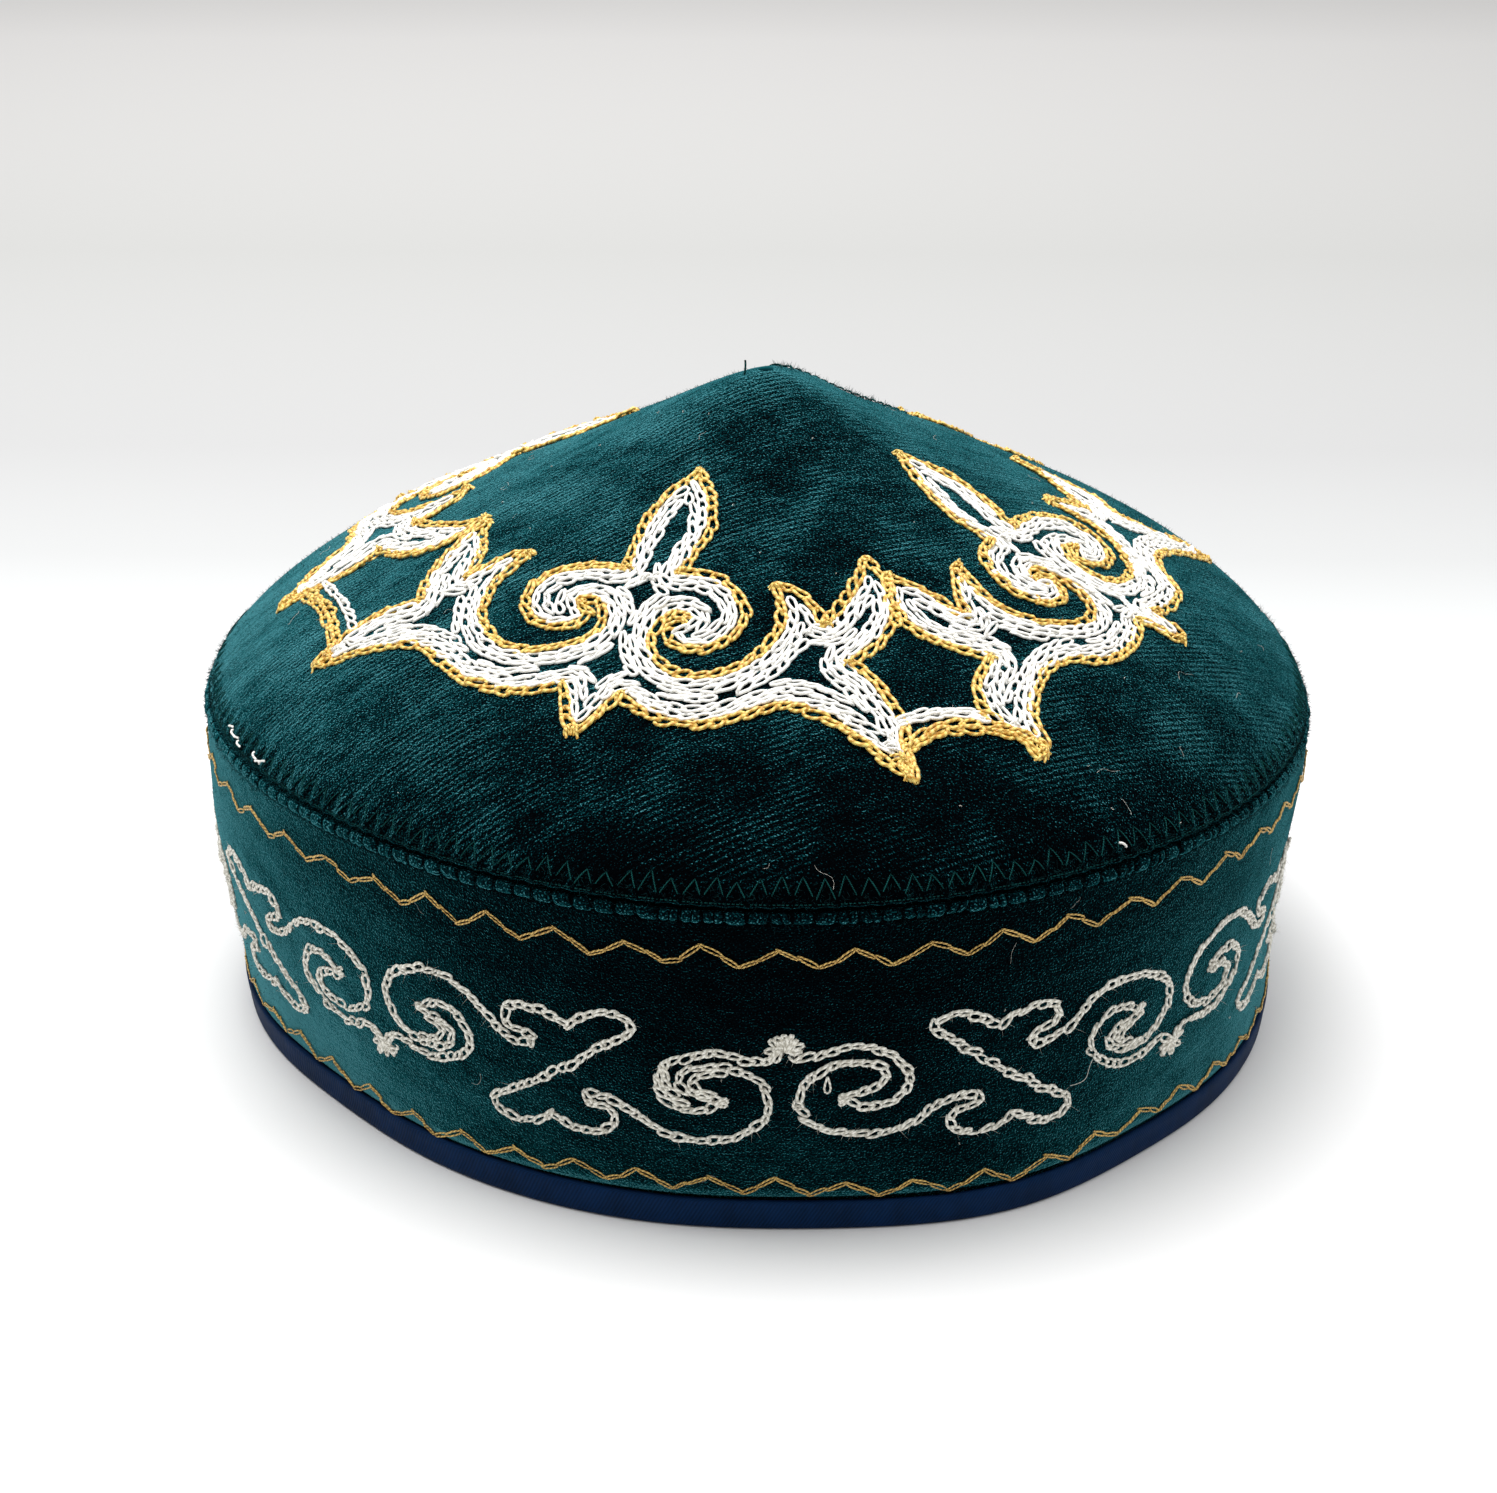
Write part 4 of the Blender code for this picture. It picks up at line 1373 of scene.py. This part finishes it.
def make_band_scroll():
    """White wool scrolls: trefoils point up and down in turn, cut off at the strip's join behind."""
    wool = Yarn(WOOL_LINK, width=1.55, radius=0.245, pitch=1.8, uneven=1.7)
    for index in range(-SCROLL_ENDS, SCROLL_ENDS + 1):
        axis = SCROLL_FRONT + index * SCROLL_HALF
        surface = partial(on_scroll, axis, 1 if index % 2 == 0 else -1)
        for head in HEADS:
            wool.fan(surface, head)
        for side in (-1, 1):
            runs = list(SCROLL_ARM)
            if index == 0 and side < 0:
                runs.extend(SCROLL_DOUBLED)
            elif random.uniform() < 0.5:
                runs.append(SCROLL_DOUBLED[1])
            for edge in runs:
                line = curve_through(edge.points) * (side, 1)
                keep = np.abs(axis + line[:, 0]) < SCROLL_JOIN
                if keep.sum() > 8:
                    wool.row(*surface(line[keep]))
            wool.fan(surface, CORES[side])
    wool.make("band_scroll", WOOL)
    make_fuzz("band_scroll_fuzz", 12000, wool.roots, WOOL, (0.25, 0.9), FUZZ_RADIUS)
    make_fuzz("band_scroll_hairs", 2200, wool.roots, WOOL, (0.8, 2.2), 0.03)


# Wave lines: height of the middle, half the rise, number round the band, slow drift and seed
Wave = namedtuple("Wave", "name middle swing count drift seed")
WAVES = (Wave("upper", 48.3, 1.45, 54, 0.3, 31), Wave("lower", 7.7, 1.25, 56, 0.8, 32))
WAVE_START = -4.94
# One wave's corners: share of its length, and of half its rise
WAVE_CORNERS = np.array(((0.0, -1.0), (0.24, -0.25), (0.52, 1.0), (0.77, 0.05)))


def make_band_waves():
    """Two golden wave lines: four long narrow links to each wave."""
    share, rise = WAVE_CORNERS.T
    for wave in WAVES:
        yarn = Yarn(WAVE_LINK, width=0.88, radius=0.15, pitch=2.75)
        pitch = RIM_LENGTH / wave.count
        draws = np.random.default_rng(wave.seed)
        arcs, levels = [], []
        for number in range(wave.count):
            taller = draws.normal(0, 0.2)
            arcs.extend(WAVE_START + (number - 0.5 + share) * pitch + draws.normal(0, 0.18, 4))
            levels.extend(rise * wave.swing + taller * (rise > 0.5) + draws.normal(0, 0.1, 4))
        arcs = np.array(arcs + [arcs[0] + RIM_LENGTH])
        levels = np.array(levels + [levels[0]])
        drift = wave.drift * wobble(arcs / RIM_LENGTH * 2 * math.pi, wave.seed + 5)
        place, up = band_point(arcs, wave.middle + levels + drift, 0.12)
        yarn.links(place[:-1], place[1:], up[:-1] + up[1:])
        yarn.make(f"band_wave_{wave.name}", SHADED_GOLD)


# Fine threads

# A way that no hair takes, to turn its foot about
ASKEW = (0.31, 0.52, 0.79)


def thread_piece(name, paths, outward, radius, finish, sides=4):
    """Many thin open threads of the same number of points as one piece."""
    paths, outward = np.asarray(paths, float), np.asarray(outward, float)
    count, length = paths.shape[:2]
    rings = tube(paths, outward, radius, sides)
    quads, along, around = ring_quads(length, sides, False)
    size = length * sides
    starts = (np.arange(count) * size)[:, None]
    side = np.arange(sides)
    caps = np.concatenate((starts + side[::-1], starts + size - sides + side))
    step = np.linalg.norm(np.diff(paths, axis=1), axis=2).mean()
    uv = np.stack((along * step + around / sides * PLY_SLANT, around / sides), axis=-1).reshape(-1, 2)
    uv = np.vstack((np.tile(uv, (count, 1)), np.zeros((caps.size, 2))))
    finish_piece(add_mesh(name, rings.reshape(-1, 3), [repeated(quads, count, size), caps], uv), finish)


def make_fibres(name, count, places, finish, lengths, radius, spread, sunk):
    """Loose fibres that stand off thread or cloth, each a slim three-sided point."""
    root, out = places(count)
    way = unit(out + random.normal(0, spread, (count, 3)))
    tip = root + way * random.uniform(*lengths, count)[:, None]
    root = root - out * sunk
    way = unit(tip - root)
    aside = unit(np.cross(way, ASKEW))
    beside = np.cross(way, aside)
    turn = np.arange(3) / 3 * 2 * math.pi
    foot = root[:, None] + radius * (aside[:, None] * np.cos(turn)[:, None]
                                     + beside[:, None] * np.sin(turn)[:, None])
    points = np.concatenate((foot, tip[:, None]), axis=1).reshape(-1, 3)
    first = (np.arange(count) * 4)[:, None]
    faces = np.concatenate([first + corners for corners in ((0, 1, 3), (1, 2, 3), (2, 0, 3), (2, 1, 0))])
    finish_piece(add_mesh(name, points, [faces], np.zeros((faces.size, 2))), finish)


# Fibres of a stitched thread, and short tufts of the pile that catch the light
make_fuzz = partial(make_fibres, spread=0.7, sunk=0.05)
make_fluff = partial(make_fibres, spread=0.75, sunk=0.1)


def over_crown(count):
    """Random places all over the crown."""
    return CROWN.read(random.uniform(0, 360, count), np.sqrt(random.uniform(0.001, 0.99, count)))


def over_band(count):
    """Random places all over the band."""
    return band_point(random.uniform(0, RIM_LENGTH, count), random.uniform(6, 54, count))


def along_edge(count):
    """Random places on the band's puffed edge."""
    return band_point(random.uniform(0, RIM_LENGTH, count), random.uniform(53.0, 55.6, count), 0.15)


def along_seam(count):
    """Random places near the seam that joins crown and band."""
    down = np.abs(random.normal(0, 1.6, count)) + 0.3
    return CROWN.read(random.uniform(0, 360, count), 1 - down / SLANT)


def along_cloth_seam(count):
    """Random places on the ridge of the crown's own seam."""
    radius = random.uniform(4, 106, count)
    aside = random.normal(0, 1.1, count)
    return CROWN.read(CLOTH_SEAM + np.degrees(aside / (radius * CONE_FACTOR)), radius / SLANT)


# The zigzag's peaks and valleys in millimetres up from the seam, and the share of a stitch at which
# it peaks
ZIGZAG_PEAK = 4.3
ZIGZAG_VALLEY = 1.2
ZIGZAG_MIDDLE = 0.55


def make_zigzag():
    """Top stitching round the crown: peaks on the crown, valleys at the seam."""
    pitch = 360 / STITCH_COUNT
    share = np.linspace(0, 1, 5)
    stitches = []
    for number in range(STITCH_COUNT):
        start = number * pitch
        peak = ZIGZAG_PEAK + random.normal(0, 0.4)
        middle = start + pitch * (ZIGZAG_MIDDLE + random.normal(0, 0.06))
        valley = ZIGZAG_VALLEY + random.normal(0, 0.15)
        corners = ((start, valley), (middle, peak), (start + pitch, valley))
        for (turn_a, down_a), (turn_b, down_b) in zip(corners, corners[1:]):
            turn = turn_a + (turn_b - turn_a) * share
            down = down_a + (down_b - down_a) * share
            lift = -0.16 + random.uniform(0.12, 0.42) * np.sin(math.pi * share) ** 0.6
            stitches.append(CROWN.read(turn, 1 - down / SLANT, lift))
    thread_piece("crown_zigzag", *zip(*stitches), 0.10, SEWING)


def make_groove_stitches():
    """Fine straight stitching in the groove between crown and puffs."""
    count = STITCH_COUNT * 5
    share = np.linspace(-0.26, 0.26, 3)
    arc = (np.arange(count)[:, None] + share) / count * RIM_LENGTH
    lift = np.array((-0.08, 0.10, -0.08)) + random.uniform(-0.12, 0.08, (count, 1))
    place, up = CROWN.read(arc / RIM_LENGTH * 360, np.full(arc.shape, 1 - 0.75 / SLANT), lift)
    thread_piece("groove_stitches", place, up, 0.075, SEWING)


# Half the width of the zigzag over the cloth's seam, and how far from the seam's ends it stops
SEAM_ZIGZAG_HALF = 1.6
SEAM_ZIGZAG_END = 3.0


def make_seam_stitches():
    """Small zigzag over the crown's own seam."""
    share = np.linspace(0, 1, 5)
    step = STITCH_PITCH / 2
    stitches = []
    for number in range(int((SLANT - 2 * SEAM_ZIGZAG_END) / step)):
        side = 1 if number % 2 else -1
        aside = side * (SEAM_ZIGZAG_HALF - 2 * SEAM_ZIGZAG_HALF * share)
        down = SEAM_ZIGZAG_END + step * (number + share)
        turn = CLOTH_SEAM + np.degrees(aside / (down * CONE_FACTOR))
        stitches.append(CROWN.read(turn, down / SLANT, 0.10 + 0.12 * np.sin(math.pi * share)))
    thread_piece("crown_seam_stitches", *zip(*stitches), 0.11, SEWING)


def make_thread_end():
    """The thread end that stands up beside the tip."""
    share = np.linspace(0, 1, 8)
    foot, _ = CROWN.read(-80.0, 0.036)
    path = foot + np.stack((0.25 * np.sin(share * 2.2), 0.1 * share, -0.3 + 2.8 * share), axis=1)
    thread_piece("thread_end", [path], (0.0, -1.0, 0.0), 0.17, SEWING)


# Short ends of white thread caught in the seam: turn in degrees, how far above the seam, and how
# far each runs round in degrees and up
ThreadBit = namedtuple("ThreadBit", "turn up along rise")
SEAM_BITS = (
    ThreadBit(-70.3, 2.5, 0.8, 0.4), ThreadBit(-69.2, 2.1, 1.0, -0.5), ThreadBit(-68.1, 2.0, 0.9, 0.3),
    ThreadBit(-67.0, 1.6, 0.9, -0.5), ThreadBit(-63.1, 2.0, 0.9, -0.7), ThreadBit(-62.1, 1.6, 1.0, 0.5),
    ThreadBit(-61.4, 1.9, 0.7, 0.9), ThreadBit(29.5, 2.5, 0.6, -0.9),
)


def make_seam_bits():
    """White thread ends caught in the seam."""
    share = np.linspace(-0.5, 0.5, 5)
    lift = 0.65 - 1.8 * share ** 2
    bits = [CROWN.read(bit.turn + bit.along * share, 1 - (bit.up + bit.rise * share) / SLANT, lift)
            for bit in SEAM_BITS]
    thread_piece("seam_bits", *zip(*bits), 0.19, WHITE, 5)


def make_stray_yarn():
    """A loop of wool pulled out of the scroll, and one long hair."""
    share = np.linspace(0, 1, 9)
    bulge = np.sin(share * math.pi)
    place, up = band_point(2.3 + 0.45 * np.sin(share * 2 * math.pi), 28.1 - 2.7 * bulge, 0.45 + 0.3 * bulge)
    thread_piece("stray_loop", [place], [up], 0.17, WOOL, 5)
    hair_arc = 41.0 + 4.5 * share + 0.6 * np.sin(share * 5)
    place, up = band_point(hair_arc, 19.5 + 3.5 * share ** 2, 0.3 + 0.5 * bulge)
    thread_piece("stray_hair", [place], [up], 0.05, WOOL, 3)


def make_lint(name, count, places, lengths, radius, curl):
    """Curled hairs and specks lying on the cloth."""
    share = np.linspace(-0.5, 0.5, 7)
    place, up = places(count)
    across = unit(np.cross(up, random.normal(0, 1, (count, 3))))
    beside = np.cross(up, across)
    long = random.uniform(*lengths, count)[:, None]
    bend = random.normal(0, curl, (count, 1)) * long
    twist = random.normal(0, curl / 3, (count, 1)) * long
    along = share * long
    offset = bend * (share ** 2 * 4 - 0.5) + twist * np.sin(share * 6.3)
    height = radius + 0.3 * np.abs(np.sin(share * 4 + random.uniform(0, 6, (count, 1))))
    paths = (place[:, None] + across[:, None] * along[..., None]
             + beside[:, None] * offset[..., None] + up[:, None] * height[..., None])
    thread_piece(name, paths, up[:, None], radius, WOOL, 3)


# Stage

FLOOR_SIZE = 6.0
# Painted shade on the floor: greyer into the distance, where less light falls
FLOOR_PAINTED_SHADE = (
    (0.0, (0.90, 0.90, 0.90)), (0.066, (0.63, 0.64, 0.64)), (0.11, (0.56, 0.565, 0.565)),
    (0.20, (0.51, 0.51, 0.51)), (0.43, (0.53, 0.53, 0.52)), (0.87, (0.76, 0.75, 0.74)),
)
Lamp = namedtuple("Lamp", "name place aim size power")
LAMPS = (
    Lamp("key", (-0.20, 0.16, 1.15), (0, 0, 0.04), 1.0, 20.0),
    Lamp("fill", (0.75, -0.10, 1.05), (0, 0, 0.04), 0.9, 4.2),
)


def make_floor():
    """A pale floor with painted shade that greys it gently into the distance."""
    mesh = bpy.data.meshes.new("floor")
    corners = [(x * FLOOR_SIZE, y * FLOOR_SIZE, 0) for x, y in ((-1, -1), (1, -1), (1, 1), (-1, 1))]
    mesh.from_pydata(corners, [], [(0, 1, 2, 3)])
    floor = bpy.data.objects.new("floor", mesh)
    bpy.context.scene.collection.objects.link(floor)
    material, tree, shader = new_material("floor")
    place = node(tree, "ShaderNodeTexCoord")
    parts = node(tree, "ShaderNodeSeparateXYZ")
    link(tree, place.outputs["Object"], parts.inputs[0])
    reach = node(tree, "ShaderNodeMapRange", {"From Min": 0.10, "From Max": 1.10})
    link(tree, parts.outputs["Y"], reach.inputs[0])
    color = color_ramp(tree, reach.outputs[0], FLOOR_PAINTED_SHADE)
    link(tree, color, shader.inputs["Base Color"])
    set_inputs(shader, {"Roughness": 0.9, "Specular IOR Level": 0.1})
    floor.data.materials.append(material)


def make_lights():
    """Soft light from all round and from two lamps above."""
    world = bpy.data.worlds.new("studio")
    bpy.context.scene.world = world
    world.use_nodes = True
    set_inputs(world.node_tree.nodes["Background"], {"Color": (1.0, 1.0, 1.0, 1.0), "Strength": 0.33})
    for lamp in LAMPS:
        data = bpy.data.lights.new(lamp.name, "AREA")
        data.size = lamp.size
        data.energy = lamp.power
        obj = bpy.data.objects.new(lamp.name, data)
        bpy.context.scene.collection.objects.link(obj)
        obj.location = lamp.place
        obj.rotation_euler = (Vector(lamp.aim) - Vector(lamp.place)).to_track_quat("-Z", "Y").to_euler()
    bpy.context.scene.view_settings.view_transform = "Standard"


def make_camera():
    """The photograph's view: in front, above, looking down at the cap."""
    data = bpy.data.cameras.new("view")
    data.sensor_fit = "HORIZONTAL"
    data.sensor_width = SENSOR
    data.lens = SENSOR * FOCAL_PIXELS / FRAME_WIDTH
    data.clip_start = 0.01
    camera = bpy.data.objects.new("view", data)
    bpy.context.scene.collection.objects.link(camera)
    right, up, forward = view_axes()
    turn = Matrix((right, up, -forward)).transposed()
    camera.matrix_world = Matrix.Translation(Vector(CAMERA_PLACE) * MM) @ turn.to_4x4()
    bpy.context.scene.camera = camera


make_camera()
make_floor()
make_lights()
make_crown()
make_band()
make_edge_puffs()
make_binding()
make_crown_ornament()
make_band_scroll()
make_band_waves()
make_zigzag()
make_groove_stitches()
make_seam_stitches()
make_thread_end()
make_seam_bits()
make_stray_yarn()
for fluff in (
    ("crown_fluff", 9000, over_crown, CROWN_FLUFF, (0.3, 0.8), 0.05),
    ("band_fluff", 5500, over_band, BAND_FLUFF, (0.3, 0.7), 0.05),
    ("crown_glints", 2500, over_crown, CROWN_FLUFF, (0.25, 0.5), 0.09),
    ("seam_fluff", 4200, along_seam, CROWN_FLUFF, (0.5, 1.5), 0.05),
    ("edge_fluff", 3500, along_edge, BAND_FLUFF, (0.3, 1.0), 0.05),
    ("ridge_fluff", 1000, along_cloth_seam, CROWN_FLUFF, (0.6, 1.5), 0.06),
):
    make_fluff(*fluff)
for lint in (
    ("crown_hairs", 44, over_crown, (1.2, 4.5), 0.026, 0.24),
    ("band_hairs", 18, over_band, (1.2, 3.5), 0.024, 0.24),
    ("crown_specks", 45, over_crown, (0.2, 0.5), 0.05, 0.2),
    ("band_specks", 25, over_band, (0.2, 0.5), 0.05, 0.2),
):
    make_lint(*lint)
